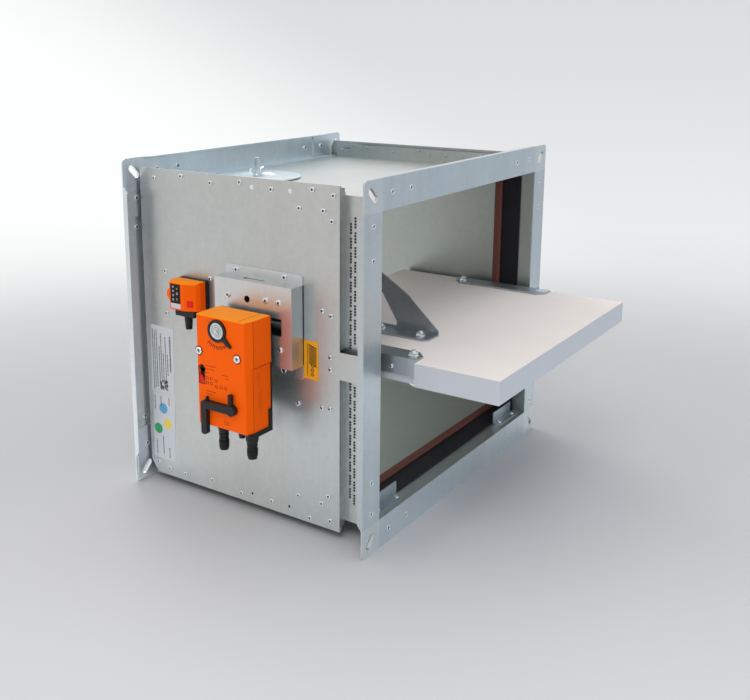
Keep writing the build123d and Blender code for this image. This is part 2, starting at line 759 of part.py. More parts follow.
with BuildPart() as actuator_base:
    # Mounting block against the box, set in from the outline, and the back plate
    with BuildSketch(side_plane(act_back_x)):
        with Locations((act_y, act_z)):
            Rectangle(act_w - 2 * ACT_MOUNT_INSET, act_h - ACT_MOUNT_INSET)
    extrude(amount=-ACT_MOUNT_T)
    with BuildSketch(side_plane(plate_back_x)) as plate_outline:
        with Locations((act_y, act_z)):
            Rectangle(act_w, act_h)
        fillet(plate_outline.vertices().group_by(Axis.Y)[-1], ACT_EDGE_R)
    extrude(amount=act_seam_x - plate_back_x)
    # Low skirt on three sides, which stands out round the shell
    skirt_h = ACT_FOOT_TOP - PART_GAP - ACT_LOW
    with BuildSketch(side_plane(act_seam_x)):
        with Locations((act_y, ACT_LOW + skirt_h / 2)):
            Rectangle(act_w, skirt_h)
        with Locations((act_y, ACT_LOW + skirt_h / 2 + ACT_WALL)):
            Rectangle(act_w - 2 * ACT_WALL, skirt_h, mode=Mode.SUBTRACT)
    extrude(amount=-(ACT_FOOT_T - act_seam_x + plate_back_x))
    # Cap under the right-hand end, which carries a gland
    with BuildSketch(front_plane(ACT_FROM)):
        with BuildLine():
            Polyline(
                (plate_back_x, ACT_LOW),
                (CAP_TIP_X, ACT_LOW),
                (CAP_FRONT_X, CAP_LOW),
                (plate_back_x, CAP_LOW),
                close=True,
            )
        make_face()
    extrude(amount=ACT_FROM - CAP_TO_Y)
    with BuildSketch(side_plane(act_back_x)):
        with Locations((DRIVE_Y, DRIVE_Z)):
            Circle(SHAFT_R + 1)
    extrude(amount=-ACT_BASE_T, mode=Mode.SUBTRACT)
pieces["actuator_base"] = actuator_base


def shell_outline(side_y):
    """Outline of the orange shell seen from above, as (x, y): its right front edge is bevelled."""
    return [
        (act_seam_x, side_y),
        (act_face_x + ACT_BEVEL_X, side_y),
        (act_face_x, ACT_FROM + ACT_BEVEL_Y),
        (act_face_x, ACT_TO),
        (act_seam_x, ACT_TO),
    ]


cavity_depth = ACT_DEPTH - ACT_FRONT_WALL
cavity_from_y = ACT_FROM + ACT_BEVEL_Y + 1
slider_depth = ACT_FRONT_WALL - 1

with BuildPart() as actuator_housing:
    with BuildSketch(Plane.XY.offset(ACT_LOW)):
        with BuildLine():
            Polyline(*shell_outline(ACT_FROM + ACT_SIDE_STEP), close=True)
        make_face()
    extrude(amount=act_h)
    fillet(actuator_housing.faces().sort_by(Axis.X)[0].edges(), ACT_EDGE_R)
    # Corner that the side cover takes
    with BuildSketch(Plane.XY.offset(COVER_LOW)):
        with Locations((act_seam_x - ACT_DEPTH / 2, (ACT_FROM + COVER_TO) / 2)):
            Rectangle(2 * ACT_DEPTH, COVER_TO - ACT_FROM)
    extrude(amount=ACT_HIGH - COVER_LOW, mode=Mode.SUBTRACT)
    # Hollow, with a wall left beside and below the side cover
    with BuildSketch(side_plane(act_seam_x)):
        with BuildLine():
            Polyline(
                (cavity_from_y, ACT_LOW + ACT_WALL),
                (ACT_TO - ACT_WALL, ACT_LOW + ACT_WALL),
                (ACT_TO - ACT_WALL, ACT_HIGH - ACT_WALL),
                (COVER_TO + COVER_WALL, ACT_HIGH - ACT_WALL),
                (COVER_TO + COVER_WALL, COVER_LOW - ACT_WALL),
                (cavity_from_y, COVER_LOW - ACT_WALL),
                close=True,
            )
        make_face()
    extrude(amount=-cavity_depth, mode=Mode.SUBTRACT)
    # Step for the skirt of the base
    with BuildSketch(side_plane(act_seam_x)):
        with Locations((act_y, (ACT_FOOT_TOP + ACT_LOW) / 2)):
            Rectangle(act_w, ACT_FOOT_TOP - ACT_LOW)
    extrude(amount=-(ACT_FOOT_T + PART_GAP - act_seam_x + plate_back_x), mode=Mode.SUBTRACT)
    # Opening for the clamp ring, and the keyhole track of the lock slider
    with BuildSketch(side_plane(act_face_x)):
        with Locations((DRIVE_Y, DRIVE_Z)):
            Circle(RING_R + RING_GAP)
    extrude(amount=ACT_FRONT_WALL, mode=Mode.SUBTRACT)
    with BuildSketch(side_plane(act_face_x)):
        with Locations((SLIDER_Y, (SLOT_LOW + SLOT_HIGH) / 2)):
            Rectangle(SLIDER_W + 2 * PART_GAP, SLOT_HIGH - SLOT_LOW)
        with Locations((SLIDER_Y, KEYHOLE_Z)):
            Circle(KEYHOLE_R)
    extrude(amount=slider_depth, mode=Mode.SUBTRACT)
pieces["actuator_housing"] = actuator_housing

with BuildPart() as actuator_side_cover:
    with BuildSketch(Plane.XY.offset(COVER_LOW)):
        with BuildLine():
            Polyline(
                (act_seam_x, ACT_FROM),
                (act_face_x + ACT_BEVEL_X, ACT_FROM),
                (act_face_x, ACT_FROM + ACT_BEVEL_Y),
                (act_face_x, COVER_TO),
                (act_seam_x, COVER_TO),
                close=True,
            )
        make_face()
    extrude(amount=ACT_HIGH - COVER_LOW)
    fillet(actuator_side_cover.faces().sort_by(Axis.X)[0].edges().sort_by(Axis.Z)[-1], ACT_EDGE_R)
pieces["actuator_side_cover"] = actuator_side_cover

with BuildPart() as actuator_screws:
    with BuildSketch(side_plane(act_face_x)):
        with Locations(*ACT_SCREWS):
            Circle(ACT_SCREW_R)
            RegularPolygon(ACT_SCREW_R / 2, 6, mode=Mode.SUBTRACT)
    extrude(amount=-ACT_SCREW_H)
pieces["actuator_screws"] = actuator_screws

with BuildPart() as cable_glands:
    for gland_x, gland_y, gland_r, gland_top, gland_end in GLANDS:
        collar = gland_top - GLAND_COLLAR_H
        neck_r = 0.9 * gland_r
        end_r = GLAND_TAPER * gland_r
        ribbed = [(gland_r, gland_top), (gland_r, collar), (neck_r, collar)]
        grooves = 3 if gland_end < GLAND_RIBS_BELOW else 0
        step = (gland_end - collar) / 6
        for rib in range(grooves):
            rib_z = collar + (rib + 1) * step
            rib_r = neck_r + (end_r - neck_r) * (rib + 1) / 6
            ribbed += [(rib_r, rib_z), (rib_r - GLAND_RIB, rib_z), (rib_r - GLAND_RIB, rib_z + step / 2)]
            ribbed += [(rib_r - GLAND_RIB / 3, rib_z + step / 2)]
        ribbed += [(end_r, gland_end), (0, gland_end), (0, gland_top)]
        add(turned_along_z(ribbed, gland_x, gland_y).part)
pieces["cable_glands"] = cable_glands

# Drive shaft with its wide outer end, the clamp ring with its pointer, and the crank

disc_from_x = GEAR_X - 2
disc_end_x = act_face_x - RING_PROUD + 1
pieces["drive_shaft"] = turned_along_x(
    [
        (SHAFT_END_X, 0),
        (SHAFT_END_X, SHAFT_R),
        (disc_from_x, SHAFT_R),
        (disc_from_x, DISC_R),
        (disc_end_x, DISC_R),
        (disc_end_x, 0),
    ],
    DRIVE_Y,
    DRIVE_Z,
)

ring_back_x = act_face_x + ACT_FRONT_WALL
with BuildPart() as shaft_clamp:
    with BuildSketch(side_plane(ring_back_x)):
        with Locations((DRIVE_Y, DRIVE_Z)):
            Circle(RING_R)
            Circle(DISC_R, mode=Mode.SUBTRACT)
    extrude(amount=-(ACT_FRONT_WALL + RING_PROUD))
    # Pointer over the scale, clear of the housing's face
    with BuildSketch(side_plane(act_face_x - PART_GAP)):
        with Locations(Location((DRIVE_Y, DRIVE_Z, 0), (0, 0, POINTER_ANGLE))):
            Polygon(
                (POINTER_FROM, -POINTER_W / 2),
                (POINTER_R, -POINTER_TIP_W / 2),
                (POINTER_R, POINTER_TIP_W / 2),
                (POINTER_FROM, POINTER_W / 2),
                align=None,
            )
    extrude(amount=-(RING_PROUD - PART_GAP))
pieces["shaft_clamp"] = shaft_clamp

with BuildPart() as crank_arm:
    with BuildSketch(side_plane(CRANK_X)):
        middle_y = (DRIVE_Y + CRANK_PIN_Y) / 2
        middle_z = (DRIVE_Z + CRANK_PIN_Z) / 2
        with Locations(Location((middle_y, middle_z, 0), (0, 0, LEVER_ANGLE))):
            SlotCenterToCenter(LEVER_R, CRANK_W)
    extrude(amount=CRANK_T)
    with BuildSketch(side_plane(CRANK_X)):
        with Locations((DRIVE_Y, DRIVE_Z)):
            Circle(HUB_R)
    extrude(amount=-HUB_L)
    with BuildSketch(side_plane(CRANK_X - HUB_L)):
        with Locations((DRIVE_Y, DRIVE_Z)):
            Circle(SHAFT_R)
    extrude(amount=HUB_L + CRANK_T, mode=Mode.SUBTRACT)
    # Riveted pin that carries the link
    with BuildSketch(side_plane(CRANK_X)):
        with Locations((CRANK_PIN_Y, CRANK_PIN_Z)):
            Circle(LINK_PIN_R)
    extrude(amount=LINK_X + LINK_T + PART_GAP - CRANK_X)
    with BuildSketch(side_plane(LINK_X + LINK_T + PART_GAP)):
        with Locations((CRANK_PIN_Y, CRANK_PIN_Z)):
            Circle(PIN_HEAD_R)
    extrude(amount=PIN_HEAD_T)
pieces["crank_arm"] = crank_arm

with BuildPart() as link_rod:
    with BuildSketch(side_plane(LINK_X)):
        middle_y = (LEVER_PIN_Y + CRANK_PIN_Y) / 2
        middle_z = (LEVER_PIN_Z + CRANK_PIN_Z) / 2
        with Locations(Location((middle_y, middle_z, 0), (0, 0, LINK_ANGLE))):
            SlotCenterToCenter(LINK_LENGTH, LINK_W)
        with Locations((CRANK_PIN_Y, CRANK_PIN_Z)):
            Circle(LINK_PIN_R + RUNNING_GAP, mode=Mode.SUBTRACT)
        with Locations((LEVER_PIN_Y, LEVER_PIN_Z)):
            Circle(LINK_PIN_R + OPEN_PIVOT_GAP, mode=Mode.SUBTRACT)
    extrude(amount=LINK_T)
pieces["link_rod"] = link_rod

# Gear pair: a sector on the drive shaft and the motor's pinion, with involute teeth


def involute(angle):
    return tan(angle) - angle


def tooth_points(teeth, centre_angle):
    """One tooth on the origin, root to tip to root, as (y, z) points."""
    pressure = radians(PRESSURE_ANGLE)
    pitch_r = MODULE * teeth / 2
    base_r = pitch_r * cos(pressure)
    root_r = pitch_r - DEDENDUM * MODULE
    tip_r = pitch_r + ADDENDUM * MODULE
    start_r = max(base_r, root_r)
    half_at_pitch = pi / (2 * teeth) - BACKLASH / (4 * pitch_r)
    flank = []
    for step in range(4):
        radius = start_r + (tip_r - start_r) * step / 3
        half = half_at_pitch + involute(pressure) - involute(acos(base_r / radius))
        flank.append((radius, half))
    flank.insert(0, (root_r - 0.05, flank[0][1]))
    rising = [(radius, centre_angle - half) for radius, half in flank]
    falling = [(radius, centre_angle + half) for radius, half in reversed(flank)]
    return [(radius * cos(angle), radius * sin(angle)) for radius, angle in rising + falling]


sector_step = 2 * pi / SECTOR_TEETH
sector_count = round(radians(SECTOR_SPAN) / sector_step)
first_tooth = radians(-90) - 1.5 * sector_step
sector_points = [(0.0, 0.0)]
for tooth in range(sector_count + 1):
    sector_points += tooth_points(SECTOR_TEETH, first_tooth + tooth * sector_step)

with BuildPart() as output_gear:
    with BuildSketch(Plane(origin=(GEAR_X, DRIVE_Y, DRIVE_Z), x_dir=(0, 1, 0), z_dir=(1, 0, 0))):
        with BuildLine():
            Polyline(*sector_points, close=True)
        make_face()
        Circle(HUB_R)
        Circle(SHAFT_R, mode=Mode.SUBTRACT)
    extrude(amount=GEAR_T)
pieces["output_gear"] = output_gear

pinion_points = []
for tooth in range(PINION_TEETH):
    pinion_points += tooth_points(PINION_TEETH, radians(90) + tooth * 2 * pi / PINION_TEETH)
pinion_x = GEAR_X - (PINION_T - GEAR_T) / 2
motor_front_x = act_seam_x - MOTOR_L

with BuildPart() as motor_pinion:
    with BuildSketch(Plane(origin=(pinion_x, DRIVE_Y, PINION_Z), x_dir=(0, 1, 0), z_dir=(1, 0, 0))):
        with BuildLine():
            Polyline(*pinion_points, close=True)
        make_face()
    extrude(amount=PINION_T)
    with BuildSketch(side_plane(pinion_x + PINION_T)):
        with Locations((DRIVE_Y, PINION_Z)):
            Circle(MOTOR_SHAFT_R)
    extrude(amount=motor_front_x + MOTOR_SHAFT_IN - pinion_x - PINION_T)
pieces["motor_pinion"] = motor_pinion

motor_hole_r = MOTOR_SHAFT_R + RUNNING_GAP
pieces["motor"] = turned_along_x(
    [
        (act_seam_x, 0),
        (act_seam_x, MOTOR_R),
        (motor_front_x, MOTOR_R),
        (motor_front_x, motor_hole_r),
        (motor_front_x + MOTOR_SHAFT_IN + PART_GAP, motor_hole_r),
        (motor_front_x + MOTOR_SHAFT_IN + PART_GAP, 0),
    ],
    DRIVE_Y,
    PINION_Z,
)

pieces["return_spring"] = turned_along_x(
    [
        (act_seam_x, SPRING_BORE_R),
        (act_seam_x, SPRING_R),
        (act_seam_x - SPRING_T, SPRING_R),
        (act_seam_x - SPRING_T, SPRING_R - SPRING_WALL),
        (act_seam_x - SPRING_T + SPRING_RECESS, SPRING_R - SPRING_WALL),
        (act_seam_x - SPRING_T + SPRING_RECESS, SPRING_HUB_R),
        (act_seam_x - SPRING_T, SPRING_HUB_R),
        (act_seam_x - SPRING_T, SPRING_BORE_R),
    ],
    SPRING_Y,
    SPRING_Z,
)

# Hand crank parked on the face of the actuator: an arm, a grip and a hexagon stub

tool_back_x = act_face_x - PART_GAP
with BuildPart() as hand_crank:
    with BuildSketch(side_plane(tool_back_x)) as tool_outline:
        for low_y, high_y, low_z, high_z in (CRANK_TOOL_ARM, CRANK_TOOL_GRIP):
            with Locations(((low_y + high_y) / 2, (low_z + high_z) / 2)):
                Rectangle(high_y - low_y, high_z - low_z)
        fillet(tool_outline.vertices().group_by(Axis.Y)[0], 3)
        fillet(tool_outline.vertices().sort_by(lambda vertex: vertex.X + vertex.Y)[-1], 4)
        with Locations((CRANK_TOOL_ARM[0], (CRANK_TOOL_ARM[2] + CRANK_TOOL_ARM[3]) / 2)):
            Circle(CRANK_TOOL_HEAD_R)
    extrude(amount=-CRANK_TOOL_T)
    with BuildSketch(Plane.XY.offset(CRANK_TOOL_ARM[3] - 1)):
        with Locations((tool_back_x - CRANK_TOOL_T / 2, CRANK_TOOL_STUB[0])):
            RegularPolygon(CRANK_TOOL_STUB_R, 6)
    extrude(amount=CRANK_TOOL_STUB[1] - CRANK_TOOL_ARM[3] + 1)
pieces["hand_crank"] = hand_crank

# Lock slider: a wedge in the keyhole track, with a stud for the finger
slider_low = SLOT_LOW + PART_GAP
slider_back_x = act_face_x + slider_depth - PART_GAP
with BuildPart() as lock_slider:
    with BuildSketch(side_plane(slider_back_x)):
        with BuildLine():
            Polyline(
                (SLIDER_Y - SLIDER_W / 2, slider_low),
                (SLIDER_Y + SLIDER_W / 2, slider_low),
                (SLIDER_Y + SLIDER_W / 2, slider_low + SLIDER_L),
                (SLIDER_Y + SLIDER_W / 2 - SLIDER_FLAT, slider_low + SLIDER_L),
                (SLIDER_Y - SLIDER_W / 2, slider_low + SLIDER_FLAT),
                close=True,
            )
        make_face()
    extrude(amount=-SLIDER_T)
    with BuildSketch(side_plane(slider_back_x - SLIDER_T)):
        with Locations((SLIDER_Y + SLIDER_FLAT / 2, slider_low + SLIDER_L / 3)):
            Circle(SLIDER_FLAT / 2)
    extrude(amount=-1)
pieces["lock_slider"] = lock_slider

# Thermal sensor: base, faceted cover, connector, probe and test button

sensor_seam_x = -PANEL_X - SENSOR_BASE_T
sensor_face_x = -PANEL_X - SENSOR_DEPTH
facet_a = Vector(sensor_face_x, FACET_TO)
facet_b = Vector(sensor_face_x + FACET_FROM[0], FACET_FROM[1])
facet_dir = (facet_b - facet_a).normalized()
facet_normal = Vector(facet_dir.Y, -facet_dir.X)
facet_mid = (facet_a + facet_b) * 0.5

with BuildPart() as sensor_base:
    with BuildSketch(side_plane(-PANEL_X)) as sensor_outline:
        with Locations(((SENSOR_FROM + SENSOR_TO) / 2, (SENSOR_LOW + SENSOR_HIGH) / 2)):
            Rectangle(SENSOR_TO - SENSOR_FROM + 2, SENSOR_HIGH - SENSOR_LOW + 2)
        fillet(sensor_outline.vertices(), 4)
        with Locations((PROBE_Y, PROBE_Z)):
            Circle(PROBE_R, mode=Mode.SUBTRACT)
    extrude(amount=-SENSOR_BASE_T)
pieces["sensor_base"] = sensor_base

button_plane = Plane(
    origin=(facet_mid.X, facet_mid.Y, BUTTON_Z),
    x_dir=(facet_dir.X, facet_dir.Y, 0),
    z_dir=(facet_normal.X, facet_normal.Y, 0),
)

with BuildPart() as sensor_cover:
    with BuildSketch(Plane.XY.offset(SENSOR_LOW)):
        with BuildLine():
            Polyline(
                (sensor_seam_x, SENSOR_FROM + 0.5),
                (sensor_seam_x - 9, SENSOR_FROM + 1.5),
                (facet_b.X, facet_b.Y),
                (facet_a.X, facet_a.Y),
                (sensor_face_x, SENSOR_TO - 2),
                (sensor_face_x + 2, SENSOR_TO),
                (sensor_seam_x, SENSOR_TO),
                close=True,
            )
        make_face()
    extrude(amount=SENSOR_HIGH - SENSOR_LOW)
    chamfer(sensor_cover.faces().sort_by(Axis.Z)[-1].edges().sort_by(Axis.X)[:3], 3)
    # Round ear on the rear side
    with BuildSketch(side_plane(sensor_seam_x)):
        with Locations((SENSOR_TO + 2, EAR_Z)):
            Circle(EAR_R)
    extrude(amount=-EAR_T)
    # Pocket for the test button
    with BuildSketch(button_plane):
        Rectangle(BUTTON_SIDE + 2 * PART_GAP, BUTTON_SIDE + 2 * PART_GAP)
    extrude(amount=-BUTTON_T, mode=Mode.SUBTRACT)
pieces["sensor_cover"] = sensor_cover

with BuildPart() as test_button:
    with BuildSketch(button_plane.offset(BUTTON_PROUD)):
        Rectangle(BUTTON_SIDE, BUTTON_SIDE)
    extrude(amount=-(BUTTON_PROUD + 2.4))
pieces["test_button"] = test_button

connector_x = sensor_seam_x - CONNECTOR_D / 2 - 1
with BuildPart() as sensor_connector:
    with BuildSketch(Plane.XY.offset(SENSOR_LOW)):
        with Locations((connector_x, PROBE_Y)):
            Rectangle(CONNECTOR_D, CONNECTOR_W)
    extrude(amount=-CONNECTOR_H)
    with BuildSketch(Plane.XY.offset(SENSOR_LOW - CONNECTOR_H)):
        with Locations((connector_x, PROBE_Y)):
            Circle(CONNECTOR_TAIL_R)
    extrude(amount=-CONNECTOR_TAIL_L, taper=4)
pieces["sensor_connector"] = sensor_connector

pieces["sensor_probe"] = turned_along_x(
    [
        (sensor_seam_x, 0),
        (sensor_seam_x, PROBE_R),
        (-half_w, PROBE_R),
        (-half_w, PROBE_R + 3),
        (-half_w + 2, PROBE_R + 3),
        (-half_w + 2, PROBE_R),
        (PROBE_END_X, PROBE_R - 1),
        (PROBE_END_X, 0),
    ],
    PROBE_Y,
    PROBE_Z,
)

# Labels on the left panel

for name, (low_y, high_y, low_z, high_z) in (
    ("rating_label", RATING_LABEL),
    ("limit_label", LIMIT_LABEL),
):
    with BuildPart() as label_plate:
        with BuildSketch(side_plane(-PANEL_X)):
            with Locations(((low_y + high_y) / 2, (low_z + high_z) / 2)):
                Rectangle(high_y - low_y, high_z - low_z)
        extrude(amount=-LABEL_T)
    pieces[name] = label_plate

# Inspection lid with its gasket, stud and wing nut

lid_z = half_h + SHEET + GASKET_T
pieces["lid_gasket"] = turned_along_z(
    [
        (LID_HOLE_R + 2, half_h + SHEET),
        (LID_R - 3, half_h + SHEET),
        (LID_R - 3, lid_z),
        (LID_HOLE_R + 2, lid_z),
    ],
    LID_X,
    LID_Y,
)

pieces["inspection_lid"] = turned_along_z(
    [
        (STUD_R + PART_GAP, lid_z),
        (24, lid_z),
        (27, lid_z + 1.5),
        (33, lid_z + 1.5),
        (36, lid_z),
        (LID_R, lid_z),
        (LID_R, lid_z + LID_T),
        (36.5, lid_z + LID_T),
        (33.5, lid_z + LID_T + 1.5),
        (26.5, lid_z + LID_T + 1.5),
        (23.5, lid_z + LID_T),
        (STUD_R + PART_GAP, lid_z + LID_T),
    ],
    LID_X,
    LID_Y,
)

with BuildPart() as lid_stud:
    with BuildSketch(Plane.XY.offset(half_h - BRIDGE_T)):
        with Locations((LID_X, LID_Y)):
            Rectangle(BRIDGE_L, BRIDGE_W)
    extrude(amount=BRIDGE_T)
    with BuildSketch(Plane.XY.offset(half_h)):
        with Locations((LID_X, LID_Y)):
            Circle(STUD_R)
    extrude(amount=STUD_TOP - half_h)
pieces["lid_stud"] = lid_stud

nut_z = lid_z + LID_T + PART_GAP
with BuildPart() as wing_nut:
    with BuildSketch(Plane.XY.offset(nut_z)):
        with Locations((LID_X, LID_Y)):
            Circle(NUT_R)
    extrude(amount=NUT_H)
    with BuildSketch(front_plane(LID_Y + WING_T / 2)):
        for sign in (-1, 1):
            with BuildLine():
                Polyline(
                    (LID_X + sign * (NUT_R - 2), nut_z + 1),
                    (LID_X + sign * (NUT_R + 3), nut_z + 2),
                    (LID_X + sign * WING_SPAN, nut_z + WING_H - 4),
                    (LID_X + sign * (WING_SPAN - 3), nut_z + WING_H),
                    (LID_X + sign * (WING_SPAN - 8), nut_z + WING_H - 2),
                    (LID_X + sign * (NUT_R - 2), nut_z + NUT_H - 0.5),
                    close=True,
                )
            make_face()
    extrude(amount=WING_T)
    with BuildSketch(Plane.XY.offset(nut_z)):
        with Locations((LID_X, LID_Y)):
            Circle(STUD_R + RUNNING_GAP)
    extrude(amount=WING_H, mode=Mode.SUBTRACT)
pieces["wing_nut"] = wing_nut

# Blade board, with notches for the hinge brackets and holes for the bolts

blade_top = BLADE_T / 2
blade_edge_x = BLADE_HALF_W - NOTCH_DEPTH
hinge_mid_y = (HINGE_FROM + HINGE_TO) / 2
hinge_length = HINGE_TO - HINGE_FROM
hinge_bolt_x = blade_edge_x + HINGE_T - HINGE_BOLT_IN
hinge_bolts = [
    (x_sign * hinge_bolt_x, PIVOT_Y + y_sign * HINGE_BOLT_ARM)
    for x_sign in (-1, 1)
    for y_sign in (-1, 1)
]
lever_bolts = [(LEVER_BOLT_X, y) for y in LEVER_BOLTS_Y]

with BuildPart() as blade_board:
    with BuildSketch(Plane.XY.offset(-blade_top)):
        with Locations((0, PIVOT_Y)):
            Rectangle(2 * BLADE_HALF_W, 2 * BLADE_HALF_L)
        for sign in (-1, 1):
            with Locations((sign * (BLADE_HALF_W - NOTCH_DEPTH / 2), hinge_mid_y)):
                Rectangle(NOTCH_DEPTH, hinge_length + 1, mode=Mode.SUBTRACT)
        with Locations(*hinge_bolts, *lever_bolts):
            Circle(BOLT_HOLE_R, mode=Mode.SUBTRACT)
    extrude(amount=BLADE_T)
pieces["blade_board"] = blade_board

for side, sign in (("left", -1), ("right", 1)):
    with BuildPart() as hinge_bracket:
        flange_outer = sign * (blade_edge_x + HINGE_T)
        flange_inner = sign * (blade_edge_x + HINGE_T - HINGE_FLANGE)
        with BuildSketch(Plane.XY.offset(blade_top)):
            with BuildLine():
                Polyline(
                    (flange_outer, HINGE_FROM),
                    (flange_outer, HINGE_TO),
                    (flange_inner + sign * HINGE_TIP, HINGE_TO),
                    (flange_inner, HINGE_TO - HINGE_TIP),
                    (flange_inner, HINGE_FROM + HINGE_TIP),
                    (flange_inner + sign * HINGE_TIP, HINGE_FROM),
                    close=True,
                )
            make_face()
            with Locations(*[(x, y) for x, y in hinge_bolts if x * sign > 0]):
                Circle(BOLT_HOLE_R, mode=Mode.SUBTRACT)
        extrude(amount=HINGE_T)
        # Side flange with a round lobe that carries the pivot pin
        with BuildSketch(side_plane(sign * (blade_edge_x + HINGE_T / 2))):
            with Locations((hinge_mid_y, blade_top - HINGE_DROP / 2)):
                Rectangle(hinge_length, HINGE_DROP)
            with Locations((PIVOT_Y, 0)):
                Circle(HINGE_LOBE_R)
                Circle(PIN_R, mode=Mode.SUBTRACT)
        extrude(amount=HINGE_T / 2, both=True)
    pieces[f"{side}_hinge_bracket"] = hinge_bracket

# Pivot pins: a shank with a collar, fixed in the hinge brackets
left_pin = turned_along_x(
    [
        (-blade_edge_x, 0),
        (-blade_edge_x, PIN_R),
        (-blade_edge_x - HINGE_T, PIN_R),
        (-blade_edge_x - HINGE_T, PIN_COLLAR_R),
        (-blade_edge_x - HINGE_T - PIN_COLLAR_T, PIN_COLLAR_R),
        (-blade_edge_x - HINGE_T - PIN_COLLAR_T, PIN_R),
        (-PIN_END_X, PIN_R),
        (-PIN_END_X, 0),
    ],
    PIVOT_Y,
    0,
)
with BuildPart() as pivot_pins:
    add(left_pin.part)
    mirror(about=Plane.YZ)
pieces["pivot_pins"] = pivot_pins

# Lever bracket: a foot on the blade and an upright web with a window, joined by a bend

with BuildPart() as lever_bracket:
    with BuildSketch(side_plane(LEVER_WEB_X)) as web_outline:
        with BuildLine():
            Polyline(
                (LEVER_FOOT_FROM, blade_top),
                (LEVER_FOOT_FROM, blade_top + 8),
                (31, 62.5),
                (83, 94),
                (95, 94),
                (LEVER_FOOT_TO, blade_top + 8),
                (LEVER_FOOT_TO, blade_top),
                close=True,
            )
        make_face()
        fillet(web_outline.vertices().group_by(Axis.Y)[-1], 5)
        with BuildLine():
            Polyline(
                (52, blade_top + 5),
                (52, 26),
                (75, 63),
                (82, 66),
                (106, blade_top + 5),
                close=True,
            )
        make_face(mode=Mode.SUBTRACT)
        with Locations((LEVER_PIN_Y, LEVER_PIN_Z)):
            Circle(LINK_PIN_R, mode=Mode.SUBTRACT)
    extrude(amount=LEVER_WEB_T)
    with BuildSketch(Plane.XY.offset(blade_top)) as foot_outline:
        foot_x = (LEVER_FOOT_FROM_X + LEVER_WEB_X + LEVER_WEB_T) / 2
        foot_w = LEVER_WEB_X + LEVER_WEB_T - LEVER_FOOT_FROM_X
        with Locations((foot_x, (LEVER_FOOT_FROM + LEVER_FOOT_TO) / 2)):
            Rectangle(foot_w, LEVER_FOOT_TO - LEVER_FOOT_FROM)
        fillet(foot_outline.vertices().group_by(Axis.X)[0], 10)
        with Locations(*lever_bolts):
            Circle(BOLT_HOLE_R, mode=Mode.SUBTRACT)
    extrude(amount=LEVER_WEB_T)
pieces["lever_bracket"] = lever_bracket

# Pin on the lever bracket, with a head on each side, that the link hangs on
pin_far_x = LEVER_WEB_X + LEVER_WEB_T + PIN_HEAD_T
pin_near_x = LINK_X - PART_GAP
pieces["lever_pin"] = turned_along_x(
    [
        (pin_far_x, 0),
        (pin_far_x, PIN_HEAD_R),
        (pin_far_x - PIN_HEAD_T, PIN_HEAD_R),
        (pin_far_x - PIN_HEAD_T, LINK_PIN_R),
        (pin_near_x, LINK_PIN_R),
        (pin_near_x, 0),
    ],
    LEVER_PIN_Y,
    LEVER_PIN_Z,
)

# Bolts through the blade, with their nuts, and a screw into each end of the board's edge

with BuildPart() as blade_bolts:
    for places, seat_z in ((hinge_bolts, blade_top + HINGE_T), (lever_bolts, blade_top + LEVER_WEB_T)):
        with BuildSketch(Plane.XY.offset(seat_z)):
            with Locations(*places):
                RegularPolygon(BOLT_HEAD_R, 6)
        extrude(amount=BOLT_HEAD_H)
        with BuildSketch(Plane.XY.offset(seat_z)):
            with Locations(*places):
                RegularPolygon(BOLT_R, 8)
        extrude(amount=-(seat_z + blade_top))
        with BuildSketch(Plane.XY.offset(-blade_top)):
            with Locations(*places):
                RegularPolygon(BOLT_HEAD_R, 6)
        extrude(amount=-BOLT_HEAD_H)
    for sign in (-1, 1):
        with BuildSketch(side_plane(sign * (blade_edge_x + HINGE_T))):
            with Locations(EDGE_SCREW_AT):
                RegularPolygon(PANEL_SCREW_R, 8)
        extrude(amount=sign * PANEL_SCREW_H)
pieces["blade_bolts"] = blade_bolts

for name, piece in pieces.items():
    piece.part.label = name
    export_step(piece.part, f"parts/{name}.step")
print(len(pieces), "nodes")
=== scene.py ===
# %% [markdown]
# Motorised fire damper: a galvanised duct section with an open blade, a spring-return actuator on
# its side and slotted flanges at both ends. The shapes with a real size come from the packed
# model. This lesson gives them their finishes and adds the small pieces that only the eye needs.

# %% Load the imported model
import random
from math import asin, cos, pi, radians, sin

import bmesh
import bpy
from mathutils import Matrix, Vector


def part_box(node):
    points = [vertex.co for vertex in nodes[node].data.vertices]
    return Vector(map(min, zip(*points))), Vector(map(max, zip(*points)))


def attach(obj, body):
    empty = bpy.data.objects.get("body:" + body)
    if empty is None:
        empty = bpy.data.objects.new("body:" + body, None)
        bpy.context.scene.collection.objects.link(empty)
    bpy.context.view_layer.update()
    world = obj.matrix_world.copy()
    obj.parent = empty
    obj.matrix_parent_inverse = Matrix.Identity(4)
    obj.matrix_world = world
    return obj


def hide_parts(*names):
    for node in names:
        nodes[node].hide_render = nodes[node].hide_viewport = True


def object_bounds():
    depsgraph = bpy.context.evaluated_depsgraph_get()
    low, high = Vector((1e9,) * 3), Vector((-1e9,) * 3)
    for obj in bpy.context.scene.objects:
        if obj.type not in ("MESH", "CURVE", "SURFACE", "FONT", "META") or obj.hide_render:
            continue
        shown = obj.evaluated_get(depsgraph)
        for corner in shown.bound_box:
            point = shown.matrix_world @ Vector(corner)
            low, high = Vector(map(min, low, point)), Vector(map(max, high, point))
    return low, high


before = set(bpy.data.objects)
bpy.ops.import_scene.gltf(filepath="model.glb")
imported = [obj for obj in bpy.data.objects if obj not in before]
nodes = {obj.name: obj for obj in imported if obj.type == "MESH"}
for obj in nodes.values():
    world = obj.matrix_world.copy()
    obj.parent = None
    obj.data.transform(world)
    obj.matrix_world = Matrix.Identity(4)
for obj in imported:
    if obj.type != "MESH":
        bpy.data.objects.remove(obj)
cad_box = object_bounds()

MM = 0.001
